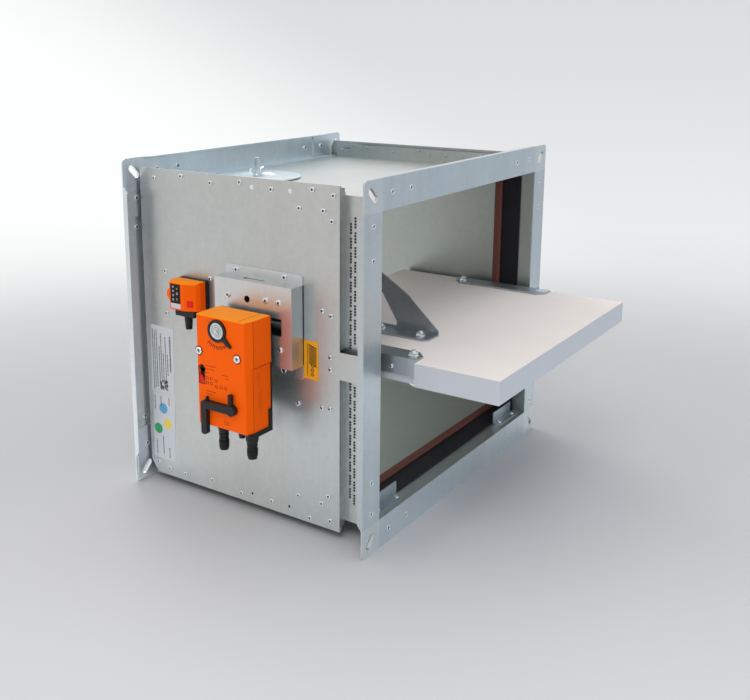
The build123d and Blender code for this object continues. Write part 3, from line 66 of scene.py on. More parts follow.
print("nodes", len(nodes), "box", [[round(v, 4) for v in corner] for corner in cad_box])

# %% [markdown]
# The camera. The photo is taken from the front left, a little above the blade, with the sensor
# shifted so that the upright edges stay nearly parallel. A camera could be placed by eye, but
# then every edge is a little off. Here position, turn and lens were solved from the corners of
# the two flanges, so they are plain numbers.

# %% Camera
IMAGE_W = 750
CAMERA_AT = Vector((-1182.79, -595.22, 389.8)) * MM
CAMERA_AZIMUTH = radians(-55.27)
CAMERA_ELEVATION = radians(12.479)
FOCAL_PX = 959.2
SHIFT_PX = (40.0, -90.0)
SENSOR_MM = 36.0
CLIP_END = 50.0


def make_camera():
    """A camera that looks from the solved place, kept level."""
    data = bpy.data.cameras.new("camera")
    data.sensor_width = SENSOR_MM
    data.lens = FOCAL_PX * SENSOR_MM / IMAGE_W
    data.shift_x, data.shift_y = SHIFT_PX[0] / IMAGE_W, SHIFT_PX[1] / IMAGE_W
    data.clip_end = CLIP_END
    camera = bpy.data.objects.new("camera", data)
    back = Vector((
        sin(CAMERA_AZIMUTH) * cos(CAMERA_ELEVATION),
        -cos(CAMERA_AZIMUTH) * cos(CAMERA_ELEVATION),
        sin(CAMERA_ELEVATION),
    ))
    camera.location = CAMERA_AT
    camera.rotation_euler = (-back).to_track_quat("-Z", "Y").to_euler()
    bpy.context.scene.collection.objects.link(camera)
    bpy.context.scene.camera = camera
    return camera


camera = make_camera()
print("lens", round(camera.data.lens, 2), "mm")

# %% [markdown]
# Sheet metal shows whatever stands round it, so the room round the object matters more than the
# lamps. The room and the finishes are sums of directions and noises. They could be wired node by
# node, but each of these helpers places one node and returns its socket, so a node tree stays as
# short to read as the sum it stands for.

# %% Node helpers


def map_range(tree, value, from_low, from_high, to_low=0.0, to_high=1.0):
    """A smooth change between two values of a socket."""
    node = tree.nodes.new("ShaderNodeMapRange")
    node.interpolation_type = "SMOOTHSTEP"
    limits = {"From Min": from_low, "From Max": from_high, "To Min": to_low, "To Max": to_high}
    for label, number in limits.items():
        node.inputs[label].default_value = number
    tree.links.new(value, node.inputs["Value"])
    return node.outputs["Result"]


def add_math(tree, operation, first, second):
    """A math node; each operand is a socket or a number."""
    node = tree.nodes.new("ShaderNodeMath")
    node.operation = operation
    for socket, value in zip(node.inputs, (first, second)):
        if isinstance(value, (int, float)):
            socket.default_value = value
        else:
            tree.links.new(value, socket)
    return node.outputs["Value"]


def lean(tree, direction, axis):
    """How far a direction leans along an axis."""
    node = tree.nodes.new("ShaderNodeVectorMath")
    node.operation = "DOT_PRODUCT"
    node.inputs[1].default_value = axis
    tree.links.new(direction, node.inputs[0])
    return node.outputs["Value"]


def mix_colours(tree, factor, first, second, blend="MIX"):
    """Mixes two colours; the factor is a socket, each colour a socket or four numbers."""
    node = tree.nodes.new("ShaderNodeMix")
    node.data_type = "RGBA"
    node.blend_type = blend
    tree.links.new(factor, node.inputs["Factor"])
    for label, value in (("A", first), ("B", second)):
        if isinstance(value, tuple):
            node.inputs[label].default_value = value
        else:
            tree.links.new(value, node.inputs[label])
    return node.outputs["Result"]


def mix_shaders(tree, factor, first, second, output):
    """Feeds an output node with two shaders, mixed by a socket."""
    mix = tree.nodes.new("ShaderNodeMixShader")
    tree.links.new(factor, mix.inputs["Fac"])
    tree.links.new(first, mix.inputs[1])
    tree.links.new(second, mix.inputs[2])
    tree.links.new(mix.outputs["Shader"], output.inputs["Surface"])


print("node helpers ready")

# %% [markdown]
# The backdrop is the paper behind the object: light grey that changes with height, and nearly
# white at the upper left. It could be a large curved sheet with a lamp of its own, but that sheet
# would throw light on the metal. As a colour of the world that only the camera sees, it lights
# nothing.

# %% Backdrop
UPWARD = (0.0, 0.0, 1.0)
BACKDROP_TONES = (
    (-0.42, (0.560, 0.566, 0.592)),
    (-0.34, (0.591, 0.597, 0.612)),
    (-0.257, (0.737, 0.745, 0.760)),
    (-0.175, (0.830, 0.842, 0.856)),
    (-0.113, (0.800, 0.812, 0.830)),
    (-0.042, (0.753, 0.763, 0.778)),
    (0.05, (0.708, 0.720, 0.736)),
)
BACKDROP_WHITE = (0.985, 1.0, 0.99, 1.0)
CAMERA_RIGHT = (cos(CAMERA_AZIMUTH), sin(CAMERA_AZIMUTH), 0.0)
GLOW_LEVEL = 0.042
GLOW_SLANT = 1.5
GLOW_ACROSS = (-0.02, -0.38)
GLOW_UPWARD = (-0.27, -0.16)


def backdrop_colour(tree, direction):
    """Light grey by height, with a wide white glow at the upper left of the picture."""
    low, high = BACKDROP_TONES[0][0], BACKDROP_TONES[-1][0]
    height = lean(tree, direction, UPWARD)
    tones = tree.nodes.new("ShaderNodeValToRGB")
    ramp = tones.color_ramp
    while len(ramp.elements) < len(BACKDROP_TONES):
        ramp.elements.new(0.5)
    for element, (at, colour) in zip(ramp.elements, BACKDROP_TONES):
        element.position = (at - low) / (high - low)
        element.color = (*colour, 1.0)
    share = add_math(tree, "DIVIDE", add_math(tree, "SUBTRACT", height, low), high - low)
    tree.links.new(share, tones.inputs["Fac"])
    above = add_math(tree, "MULTIPLY", add_math(tree, "SUBTRACT", height, GLOW_LEVEL), GLOW_SLANT)
    slanted = add_math(tree, "ADD", lean(tree, direction, CAMERA_RIGHT), above)
    across = map_range(tree, slanted, *GLOW_ACROSS)
    glow = add_math(tree, "MULTIPLY", across, map_range(tree, height, *GLOW_UPWARD))
    return mix_colours(tree, glow, tones.outputs["Color"], BACKDROP_WHITE)


print("backdrop of", len(BACKDROP_TONES), "tones")

# %% [markdown]
# The room that the metal reflects is a plain gradient: pale everywhere, brightest above and
# behind, and a little dimmer and bluer in front, which turns the flange faces blue-grey beside
# the brighter top. A picture of a real studio would show in the sheets as stripes and windows. A
# gradient gives them the even shade that they have in the photo.

# %% World
BACKWARD = (0.0, 1.0, 0.0)
ROOM_LEVEL = 0.80
ROOM_LEAN = (0.12, 0.24, 0.18)
ROOM_FRONT = (0.84, 0.92, 0.99, 1.0)
ROOM_BACK = (1.0, 1.0, 0.99, 1.0)
ROOM_TURN = (-0.7, 0.5)


def make_world():
    """A pale room for the light and the reflections, and a plain backdrop for the camera."""
    world = bpy.data.worlds.new("studio")
    bpy.context.scene.world = world
    world.use_nodes = True
    tree = world.node_tree
    tree.nodes.clear()
    output = tree.nodes.new("ShaderNodeOutputWorld")
    direction = tree.nodes.new("ShaderNodeTexCoord").outputs["Generated"]
    room = tree.nodes.new("ShaderNodeBackground")
    level = add_math(tree, "ADD", lean(tree, direction, ROOM_LEAN), ROOM_LEVEL)
    front_to_back = map_range(tree, lean(tree, direction, BACKWARD), *ROOM_TURN)
    tree.links.new(mix_colours(tree, front_to_back, ROOM_FRONT, ROOM_BACK), room.inputs["Color"])
    tree.links.new(level, room.inputs["Strength"])
    seen = tree.nodes.new("ShaderNodeBackground")
    tree.links.new(backdrop_colour(tree, direction), seen.inputs["Color"])
    camera_ray = tree.nodes.new("ShaderNodeLightPath").outputs["Is Camera Ray"]
    mix_shaders(tree, camera_ray, room.outputs["Background"], seen.outputs["Background"], output)


make_world()
bpy.context.scene.view_settings.view_transform = "Standard"
print("world", bpy.context.scene.world.name)

# %% [markdown]
# Three lamps give the light its lead and the object its soft shadow: a key at the upper left, a
# weak fill in front and a rim from behind. Spot lamps would draw hard edges. Large square area
# lamps are what a photographer's softboxes are, and their shadows fade as the ones in the photo
# do.

# %% Lamps
SOFTBOXES = (
    ("key", (-1.9, -0.6, 2.3), (0.0, 0.1, 0.0), 1.4, 18.0),
    ("front_fill", (-0.4, -2.6, 0.9), (0.0, 0.0, 0.0), 1.6, 7.0),
    ("back_rim", (1.2, 2.4, 1.9), (0.0, 0.3, 0.0), 1.2, 14.0),
)


def add_softbox(name, place, aim, size, power):
    """A square area lamp at place, facing aim."""
    data = bpy.data.lights.new(name, "AREA")
    data.size = size
    data.energy = power
    lamp = bpy.data.objects.new(name, data)
    lamp.location = place
    lamp.rotation_euler = (Vector(aim) - Vector(place)).to_track_quat("-Z", "Y").to_euler()
    bpy.context.scene.collection.objects.link(lamp)


for softbox in SOFTBOXES:
    add_softbox(*softbox)
print("lamps", len(SOFTBOXES))

# %% [markdown]
# The floor is the table of white paper under the object. A plane would end in a hard line, so it
# is a disc whose material turns see-through by distance from the object and melts into the
# backdrop. The camera sees it light grey with the soft shadow on it, while the metal reflects
# white paper.

# %% Floor
FLOOR_R = 4.0
FLOOR_STEPS = 96
FLOOR_NEAR = (0.680, 0.672, 0.672, 1.0)
FLOOR_FAR = (0.545, 0.540, 0.548, 1.0)
FLOOR_WHITE = (0.90, 0.90, 0.90, 1.0)
FLOOR_TONES = (-0.1, 0.6)
FLOOR_FADE = (0.45, 1.7)
TO_CAMERA = (sin(CAMERA_AZIMUTH), -cos(CAMERA_AZIMUTH), 0.0)


def floor_material():
    """Grey for the camera, white for the metal, and clear far from the object."""
    material = bpy.data.materials.new("studio_floor")
    material.use_nodes = True
    tree = material.node_tree
    tree.nodes.clear()
    output = tree.nodes.new("ShaderNodeOutputMaterial")
    paper = tree.nodes.new("ShaderNodeBsdfDiffuse")
    clear = tree.nodes.new("ShaderNodeBsdfTransparent")
    place = tree.nodes.new("ShaderNodeTexCoord").outputs["Object"]
    nearness = map_range(tree, lean(tree, place, TO_CAMERA), *FLOOR_TONES)
    grey = mix_colours(tree, nearness, FLOOR_FAR, FLOOR_NEAR)
    camera_ray = tree.nodes.new("ShaderNodeLightPath").outputs["Is Camera Ray"]
    tree.links.new(mix_colours(tree, camera_ray, FLOOR_WHITE, grey), paper.inputs["Color"])
    distance = tree.nodes.new("ShaderNodeVectorMath")
    distance.operation = "LENGTH"
    tree.links.new(place, distance.inputs[0])
    blend_in = map_range(tree, distance.outputs["Value"], *FLOOR_FADE)
    mix_shaders(tree, blend_in, paper.outputs["BSDF"], clear.outputs["BSDF"], output)
    return material


def make_floor():
    """The disc at the height of the lowest solid."""
    mesh = bpy.data.meshes.new("floor")
    shape = bmesh.new()
    bmesh.ops.create_circle(shape, cap_ends=True, segments=FLOOR_STEPS, radius=FLOOR_R)
    bmesh.ops.translate(shape, verts=shape.verts, vec=(0, 0, cad_box[0][2]))
    shape.to_mesh(mesh)
    shape.free()
    floor = bpy.data.objects.new("floor", mesh)
    bpy.context.scene.collection.objects.link(floor)
    mesh.materials.append(floor_material())


make_floor()
print("floor at", round(cad_box[0][2], 3))

# %% [markdown]
# Effects that several finishes share are node groups: each is built once and gets its own values in
# every material. A group only puts out a colour and numbers that change over the surface; the
# shader stays in the material. Edges of sheet and mouldings are made a little paler: partly wear,
# partly a painted highlight for the thin line of light that an edge catches. A painted mask would
# have to be made for each piece, so the wear and the highlight come from a softened normal that
# finds any edge itself.

# %% Group helpers
EDGE_MASK_RADIUS = 0.5 * MM
EDGE_MASK_SAMPLES = 4
EDGE_MASK_SPAN = (0.02, 0.25)


def new_group(name, inputs, outputs):
    """An empty shader group: (name, type, default) inputs and (name, type) outputs."""
    group = bpy.data.node_groups.new(name, "ShaderNodeTree")
    for label, kind, default in inputs:
        socket = group.interface.new_socket(name=label, in_out="INPUT", socket_type=kind)
        socket.default_value = default
    for label, kind in outputs:
        group.interface.new_socket(name=label, in_out="OUTPUT", socket_type=kind)
    return group, group.nodes.new("NodeGroupInput"), group.nodes.new("NodeGroupOutput")


def add_noise(tree, vector, scale, detail, stretch=(1.0, 1.0, 1.0)):
    """Noise in object space, stretched per axis."""
    mapping = tree.nodes.new("ShaderNodeMapping")
    mapping.inputs["Scale"].default_value = stretch
    noise = tree.nodes.new("ShaderNodeTexNoise")
    noise.inputs["Scale"].default_value = scale
    noise.inputs["Detail"].default_value = detail
    tree.links.new(vector, mapping.inputs["Vector"])
    tree.links.new(mapping.outputs["Vector"], noise.inputs["Vector"])
    return noise.outputs["Fac"]


def centred(tree, value, amount):
    """A 0 to 1 pattern turned into a shift round zero."""
    return add_math(tree, "MULTIPLY", add_math(tree, "SUBTRACT", value, 0.5), amount)


def edge_wear_and_highlight(tree, amount):
    """The amount on corners and bends, 0 on flat faces: how far a softened normal turns."""
    soft = tree.nodes.new("ShaderNodeBevel")
    soft.samples = EDGE_MASK_SAMPLES
    soft.inputs["Radius"].default_value = EDGE_MASK_RADIUS
    real = tree.nodes.new("ShaderNodeNewGeometry")
    match = tree.nodes.new("ShaderNodeVectorMath")
    match.operation = "DOT_PRODUCT"
    tree.links.new(soft.outputs["Normal"], match.inputs[0])
    tree.links.new(real.outputs["Normal"], match.inputs[1])
    bend = map_range(tree, add_math(tree, "SUBTRACT", 1.0, match.outputs["Value"]), *EDGE_MASK_SPAN)
    return add_math(tree, "MULTIPLY", bend, amount)


def shaded_colour(tree, colour, shift):
    """The colour made lighter or darker by a shift."""
    tint = tree.nodes.new("ShaderNodeHueSaturation")
    tree.links.new(add_math(tree, "ADD", shift, 1.0), tint.inputs["Value"])
    tree.links.new(colour, tint.inputs["Color"])
    return tint.outputs["Color"]


# Within this radius the edges are made paler: partly wear, partly painted highlight.
print("worn edges within", EDGE_MASK_RADIUS / MM, "mm")

# %% [markdown]
# Zinc on rolled sheet shows several things at once: cloudy patches, faint streaks from the
# rollers, flat crystals of slightly different grey, fine scuffs and a cooler tone here and there.
# One noise would look like dirt. Five weak ones of different scale, added up, look like zinc, and
# the same sum moves the roughness, so bright spots are the smoother ones.

# %% Zinc bloom
COLOUR = "NodeSocketColor"
NUMBER = "NodeSocketFloat"
SURFACE_OUTPUTS = [("Color", COLOUR), ("Roughness", NUMBER), ("Height", NUMBER)]
FLAT_DETAIL, SOFT_DETAIL, RICH_DETAIL = 1.0, 2.0, 3.0
CRYSTAL_SCALE = 150.0
STREAK_SCALE = 60.0
STREAK_STRETCH = (1.0, 1.0, 0.03)
GRAIN_SCALE = 700.0
GRAIN_SHIFT = 0.08
SCUFF_SCALE = 420.0
SCUFF_STRETCH = (1.0, 1.0, 0.02)
SCUFF_SPAN = (0.66, 0.76)
SCUFF_SHIFT = 0.07
CLOUD_SCALE = 9.0
COOL_SCALE = 4.0
COOL_SPAN = (0.35, 0.7)
COOL_TINT = (0.93, 0.98, 1.0, 1.0)
ROUGH_BY_SHADE = 0.5
ROUGH_BY_WEAR = 0.3


def build_sheet_bloom():
    """Zinc on rolled sheet: clouds, streaks along Z, crystals, scuffs, and edges worn paler with a
    painted highlight.
    """
    group, given, result = new_group(
        "sheet_bloom",
        [
            ("Color", COLOUR, (0.6, 0.63, 0.65, 1.0)),
            ("Roughness", NUMBER, 0.45),
            ("Cloud", NUMBER, 0.12),
            ("Streak", NUMBER, 0.1),
            ("Spangle", NUMBER, 0.06),
            ("Wear And Highlight", NUMBER, 0.2),
        ],
        SURFACE_OUTPUTS,
    )
    place = group.nodes.new("ShaderNodeTexCoord").outputs["Object"]
    crystals = group.nodes.new("ShaderNodeTexVoronoi")
    crystals.inputs["Scale"].default_value = CRYSTAL_SCALE
    group.links.new(place, crystals.inputs["Vector"])
    grey_of = group.nodes.new("ShaderNodeSeparateColor")
    group.links.new(crystals.outputs["Color"], grey_of.inputs["Color"])
    streak = add_noise(group, place, STREAK_SCALE, SOFT_DETAIL, STREAK_STRETCH)
    grain = add_noise(group, place, GRAIN_SCALE, SOFT_DETAIL)
    scratches = add_noise(group, place, SCUFF_SCALE, FLAT_DETAIL, SCUFF_STRETCH)
    clouds = add_noise(group, place, CLOUD_SCALE, RICH_DETAIL)
    total = centred(group, clouds, given.outputs["Cloud"])
    for shift in (
        centred(group, streak, given.outputs["Streak"]),
        centred(group, grey_of.outputs["Red"], given.outputs["Spangle"]),
        centred(group, grain, GRAIN_SHIFT),
        map_range(group, scratches, *SCUFF_SPAN, 0.0, SCUFF_SHIFT),
    ):
        total = add_math(group, "ADD", total, shift)
    wear_and_highlight = edge_wear_and_highlight(group, given.outputs["Wear And Highlight"])
    shaded = shaded_colour(group, given.outputs["Color"], add_math(group, "ADD", total, wear_and_highlight))
    cool = map_range(group, add_noise(group, place, COOL_SCALE, SOFT_DETAIL), *COOL_SPAN)
    tinted = mix_colours(group, cool, shaded, COOL_TINT, "MULTIPLY")
    by_shade = add_math(group, "MULTIPLY", total, ROUGH_BY_SHADE)
    by_wear = add_math(group, "MULTIPLY", wear_and_highlight, ROUGH_BY_WEAR)
    rough = add_math(group, "ADD", given.outputs["Roughness"], by_shade)
    group.links.new(tinted, result.inputs["Color"])
    group.links.new(add_math(group, "SUBTRACT", rough, by_wear), result.inputs["Roughness"])
    group.links.new(add_math(group, "ADD", streak, grain), result.inputs["Height"])
    return group


sheet_bloom = build_sheet_bloom()
print("group", sheet_bloom.name)

# %% [markdown]
# A moulding, a board or a print has an even grain with a slow change of shade, and edges that are
# worn smooth and made paler with a painted highlight. It could share the zinc's group with most of
# it turned off, but a group of its own has only the values that such a surface needs, and they read
# as what they are.

# %% Moulding grain
MID_GREY = (0.5, 0.5, 0.5, 1.0)
SLOW_SCALE = 14.0
ROUGH_BY_GRAIN = 1.5


def build_fine_grain():
    """Even grain with a slow change of shade, and worn edges made paler with a painted highlight.
    """
    group, given, result = new_group(
        "fine_grain",
        [
            ("Color", COLOUR, MID_GREY),
            ("Roughness", NUMBER, 0.5),
            ("Scale", NUMBER, 900.0),
            ("Shade", NUMBER, 0.06),
            ("Wear And Highlight", NUMBER, 0.1),
        ],
        SURFACE_OUTPUTS,
    )
    place = group.nodes.new("ShaderNodeTexCoord").outputs["Object"]
    fine = group.nodes.new("ShaderNodeTexNoise")
    fine.inputs["Detail"].default_value = SOFT_DETAIL
    group.links.new(place, fine.inputs["Vector"])
    group.links.new(given.outputs["Scale"], fine.inputs["Scale"])
    patches = add_noise(group, place, SLOW_SCALE, SOFT_DETAIL)
    slow = centred(group, patches, given.outputs["Shade"])
    even = centred(group, fine.outputs["Fac"], given.outputs["Shade"])
    shift = add_math(group, "ADD", slow, even)
    wear_and_highlight = edge_wear_and_highlight(group, given.outputs["Wear And Highlight"])
    shaded = shaded_colour(group, given.outputs["Color"], add_math(group, "ADD", shift, wear_and_highlight))
    by_grain = add_math(group, "MULTIPLY", shift, ROUGH_BY_GRAIN)
    rough = add_math(group, "ADD", given.outputs["Roughness"], by_grain)
    group.links.new(shaded, result.inputs["Color"])
    group.links.new(add_math(group, "SUBTRACT", rough, wear_and_highlight), result.inputs["Roughness"])
    group.links.new(fine.outputs["Fac"], result.inputs["Height"])
    return group


fine_grain = build_fine_grain()
print("group", fine_grain.name)

# %% [markdown]
# The orange moulding is dyed through. Its upper faces look yellower, and the board's upper face
# warmer than its edge, because the strong light falls on them from above. Subsurface scattering
# could give a shift like this, but it is slow and needs tuning. Here the shift is painted light: a
# second, lighter colour, taken by how far a face looks up.

# %% Painted top light
FACING_UP = (0.25, 0.95)


def build_painted_top_light():
    """Painted light: a second, lighter colour on the faces that look up."""
    group, given, result = new_group(
        "painted_top_light",
        [("Color", COLOUR, MID_GREY), ("Lit Top", COLOUR, MID_GREY)],
        [("Color", COLOUR)],
    )
    normal = group.nodes.new("ShaderNodeNewGeometry").outputs["Normal"]
    up = map_range(group, lean(group, normal, UPWARD), *FACING_UP)
    top_lit = mix_colours(group, up, given.outputs["Color"], given.outputs["Lit Top"])
    group.links.new(top_lit, result.inputs["Color"])
    return group


painted_top_light = build_painted_top_light()
print("groups", [group.name for group in bpy.data.node_groups])

# %% [markdown]
# A finish is one Principled shader fed by a group. The values that don't change over the surface
# sit on the shader's own sockets. Each material could be wired on its own, but then they drift
# apart. One builder makes them all, and two short functions, one for metal and one for everything
# else, keep each finish to a line that can be compared with its neighbours.

# %% Finish builder
BUMP_DEPTH = 0.2 * MM
METAL_BUMP = 0.05
finish = {}


def make_finish(name, group, values, metallic=0.0, bump=0.0, specular=0.5, above=None):
    """Keeps a Principled material whose colour, roughness and bump come from a shared group."""
    material = bpy.data.materials.new(name)
    material.use_nodes = True
    tree = material.node_tree
    shader = tree.nodes["Principled BSDF"]
    shader.inputs["Metallic"].default_value = metallic
    shader.inputs["Specular IOR Level"].default_value = specular
    effect = tree.nodes.new("ShaderNodeGroup")
    effect.node_tree = group
    for label, value in values.items():
        effect.inputs[label].default_value = value
    # above is the colour painted on the faces that look up: painted light from above.
    if above:
        blend_in = tree.nodes.new("ShaderNodeGroup")
        blend_in.node_tree = painted_top_light
        blend_in.inputs["Color"].default_value = values["Color"]
        blend_in.inputs["Lit Top"].default_value = (*above, 1.0)
        tree.links.new(blend_in.outputs["Color"], effect.inputs["Color"])
    tree.links.new(effect.outputs["Color"], shader.inputs["Base Color"])
    tree.links.new(effect.outputs["Roughness"], shader.inputs["Roughness"])
    if bump:
        relief = tree.nodes.new("ShaderNodeBump")
        relief.inputs["Strength"].default_value = bump
        relief.inputs["Distance"].default_value = BUMP_DEPTH
        tree.links.new(effect.outputs["Height"], relief.inputs["Height"])
        tree.links.new(relief.outputs["Normal"], shader.inputs["Normal"])
    finish[name] = material


def metal(name, colour, roughness, cloud=0.12, streak=0.1, spangle=0.05, wear_and_highlight=0.25, metallic=0.85):
    """A zinc or steel surface."""
    values = {
        "Color": (*colour, 1.0), "Roughness": roughness, "Cloud": cloud, "Streak": streak,
        "Spangle": spangle, "Wear And Highlight": wear_and_highlight,
    }
    make_finish(name, sheet_bloom, values, metallic, METAL_BUMP)


def matt(name, colour, roughness, scale=900.0, shade=0.06, wear_and_highlight=0.08, bump=0.1, specular=0.5,
         above=None):
    """A moulding, board, rubber or film."""
    values = {
        "Color": (*colour, 1.0), "Roughness": roughness, "Scale": scale, "Shade": shade,
        "Wear And Highlight": wear_and_highlight,
    }
    make_finish(name, fine_grain, values, bump=bump, specular=specular, above=above)


print("finish builder ready")

# %% [markdown]
# Metals. Galvanised sheet is a metal with a fairly rough surface. One finish could serve all of it,
# but the walls, the panels, the flanges and the folded box each get their own, a little paler,
# darker or bluer than the others. Part of this is painted light and shade: the top wall and the lid
# on top are lighter, and the walls seen inside the duct are darker. Bright zinc on the screws is
# smoother. Below a roughness of about 0.3 the large flat sheets show bright specks, so none of them
# goes that low.

# %% Metal finishes
metal("panel_sheet", (0.545, 0.55, 0.535), 0.34, cloud=0.18, streak=0.08)
# The inner walls are set darker as painted shade, and the top wall and the lid lighter as painted
# light.
metal("shaded_inner_sheet", (0.44, 0.46, 0.43), 0.34, cloud=0.16, streak=0.06)
metal("lit_top_sheet", (0.60, 0.605, 0.59), 0.33, cloud=0.14, streak=0.05)
metal("lit_lid_sheet", (0.70, 0.75, 0.77), 0.33, cloud=0.10, streak=0.0)
metal("flange_sheet", (0.50, 0.535, 0.56), 0.33, cloud=0.14, streak=0.18, wear_and_highlight=0.3)
metal("rear_flange_sheet", (0.74, 0.775, 0.80), 0.34, cloud=0.14, streak=0.12, wear_and_highlight=0.3)
metal("corner_sheet", (0.57, 0.59, 0.60), 0.34, cloud=0.16, streak=0.08, wear_and_highlight=0.3)
metal("box_sheet", (0.64, 0.64, 0.64), 0.34, cloud=0.08, streak=0.04, spangle=0.02, wear_and_highlight=0.15)
metal("bracket_sheet", (0.42, 0.45, 0.47), 0.35, cloud=0.2, streak=0.18)
metal("bright_zinc", (0.82, 0.84, 0.86), 0.20, streak=0.0, metallic=0.95)
metal("socket_shadow", (0.08, 0.085, 0.09), 0.5, streak=0.0, metallic=0.7)
metal("turned_steel", (0.68, 0.68, 0.67), 0.34, streak=0.0, metallic=0.95)
metal("bronze", (0.62, 0.44, 0.22), 0.40, streak=0.0, metallic=0.9)
print("metals", len(finish))

# %% [markdown]
# Board, seals and mouldings are not metals. The board is dull and a little coarse, the strips are
# soft and dark, and the mouldings are smoother with a faint grain from the mould. Black parts are
# never quite black: a trace of colour and their reflections keep their shape readable.

# %% Board, seals and mouldings
# The above colours of the board and the orange moulding are painted light on their upper faces.
matt("board", (0.55, 0.565, 0.61), 0.85, scale=420.0, shade=0.07, wear_and_highlight=0.05, bump=0.25,
     specular=0.2, above=(0.87, 0.79, 0.745))
matt("silicone", (0.145, 0.045, 0.032), 0.60, shade=0.10, specular=0.3)
matt("graphite", (0.010, 0.010, 0.013), 0.70, shade=0.2, specular=0.25)
matt("orange_moulding", (1.0, 0.120, 0.0008), 0.42, shade=0.05, wear_and_highlight=0.10, specular=0.07,
     above=(1.0, 0.29, 0.006))
matt("orange_shade", (0.34, 0.03, 0.001), 0.50, specular=0.1)
matt("black_moulding", (0.009, 0.009, 0.011), 0.40, shade=0.15, wear_and_highlight=0.3, bump=0.12, specular=0.3)
matt("red_moulding", (0.78, 0.010, 0.004), 0.30, shade=0.05, specular=0.3)
matt("gear_nylon", (0.70, 0.69, 0.62), 0.45)
matt("foam_rubber", (0.014, 0.014, 0.014), 0.8, scale=500.0, shade=0.3, bump=0.4)
print("finishes", len(finish))

# %% [markdown]
# Films and prints. Labels are thin smooth films, and what is printed on them is a thin piece of
# its own in a plain colour. A picture mapped on the label would blur close up; solid strips keep
# their edges at any distance.

# %% Films and prints
matt("white_film", (0.60, 0.625, 0.655), 0.45, shade=0.03, bump=0.02, specular=0.3)
matt("amber_film", (0.88, 0.36, 0.010), 0.45, shade=0.03, bump=0.02, specular=0.2)
matt("grey_print", (0.07, 0.075, 0.09), 0.55, shade=0.03, bump=0.0)
# This black serves for print, and also as painted shade in the slot and the gap of the box and in
# the panel's holes.
matt("black_print_and_shade", (0.010, 0.010, 0.010), 0.55, shade=0.03, bump=0.0, specular=0.2)
matt("brown_print", (0.16, 0.022, 0.002), 0.55, shade=0.03, bump=0.0, specular=0.1)
matt("blue_print", (0.10, 0.36, 0.60), 0.5, shade=0.02, bump=0.0)
matt("yellow_print", (0.80, 0.64, 0.10), 0.5, shade=0.02, bump=0.0)
matt("green_print", (0.03, 0.33, 0.13), 0.5, shade=0.02, bump=0.0)
matt("pale_print", (0.58, 0.57, 0.63), 0.5, shade=0.02, bump=0.0)
print("finishes", len(finish))

# %% [markdown]
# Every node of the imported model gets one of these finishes. The list is sorted by finish, because
# that is how a maker thinks of the parts: what is cut from one roll, what is moulded in one
# colour.

# %% Dress the nodes
SIDES = ("top", "bottom", "left", "right")
DRESS = {
    "panel_sheet": ["left_side_panel", "right_side_panel", "left_wall"],
    "shaded_inner_sheet": ["right_wall", "bottom_wall"],
    "lit_top_sheet": ["top_wall"],
    "lit_lid_sheet": ["inspection_lid"],
    "box_sheet": ["mechanism_box"],
    "flange_sheet": [f"front_{side}_rail" for side in SIDES],
    "rear_flange_sheet": ["rear_corner_plates"] + [f"rear_{side}_rail" for side in SIDES],
    "corner_sheet": ["front_corner_plates"],
    "bracket_sheet": ["blade_stops", "left_hinge_bracket", "right_hinge_bracket", "lever_bracket"],
    "bright_zinc": [
        "flange_rivets", "panel_screws", "stop_screws", "box_screws", "actuator_screws",
        "blade_bolts", "lid_stud", "wing_nut", "pivot_pins", "lever_pin",
    ],
    "turned_steel": [
        "drive_shaft", "crank_arm", "link_rod", "box_rod", "motor", "return_spring",
        "sensor_probe",
    ],
    "bronze": ["pivot_bushes", "drive_bush"],
    "board": ["blade_board"],
    "silicone": ["bulb_seal"],
    "graphite": ["intumescent_strips"],
    "orange_moulding": ["actuator_housing", "actuator_side_cover", "sensor_cover"],
    "black_moulding": [
        "actuator_base", "cable_glands", "shaft_clamp", "hand_crank", "sensor_base",
        "sensor_connector",
    ],
    "red_moulding": ["lock_slider", "test_button"],
    "white_film": ["rating_label"],
    "amber_film": ["limit_label"],
    "foam_rubber": ["lid_gasket"],
    "gear_nylon": ["output_gear", "motor_pinion"],
}


def dress_nodes():
    for label, names in DRESS.items():
        for name in names:
            mesh = nodes[name].data
            mesh.materials.clear()
            mesh.materials.append(finish[label])


dress_nodes()
print("dressed", sum(len(names) for names in DRESS.values()), "of", len(nodes))

# %% [markdown]
# Folded sheet and mouldings never have a knife edge: a bend or a cut always catches a thin line
# of light. The rounding could be modelled in the solids, but it would cost many faces there. A
# bevel modifier adds it here, on edges that turn by more than a set angle, and leaves the solids
# alone.

# %% Soft edges
EDGE_ANGLE = radians(40)
EDGE_STEPS = 2
SOFT_EDGES = {
    0.4: [
        "left_side_panel", "right_side_panel", "mechanism_box", "blade_stops",
        "left_hinge_bracket", "right_hinge_bracket", "lever_bracket", "inspection_lid",
        "crank_arm", "link_rod", "wing_nut",
    ],
    0.5: ["actuator_housing", "shaft_clamp", "lock_slider", "test_button", "drive_shaft"],
    0.6: ["front_corner_plates", "rear_corner_plates"]
    + [f"{end}_{side}_rail" for end in ("front", "rear") for side in SIDES],
    0.8: [
        "blade_board", "actuator_base", "sensor_cover", "sensor_base", "hand_crank",
        "actuator_side_cover",
    ],
}


def soften_edges():
    for width, names in SOFT_EDGES.items():
        for name in names:
            bevel = nodes[name].modifiers.new("edge", "BEVEL")
            bevel.width = width * MM
            bevel.segments = EDGE_STEPS
            bevel.limit_method = "ANGLE"
            bevel.angle_limit = EDGE_ANGLE


soften_edges()
print("softened", sum(len(names) for names in SOFT_EDGES.values()))

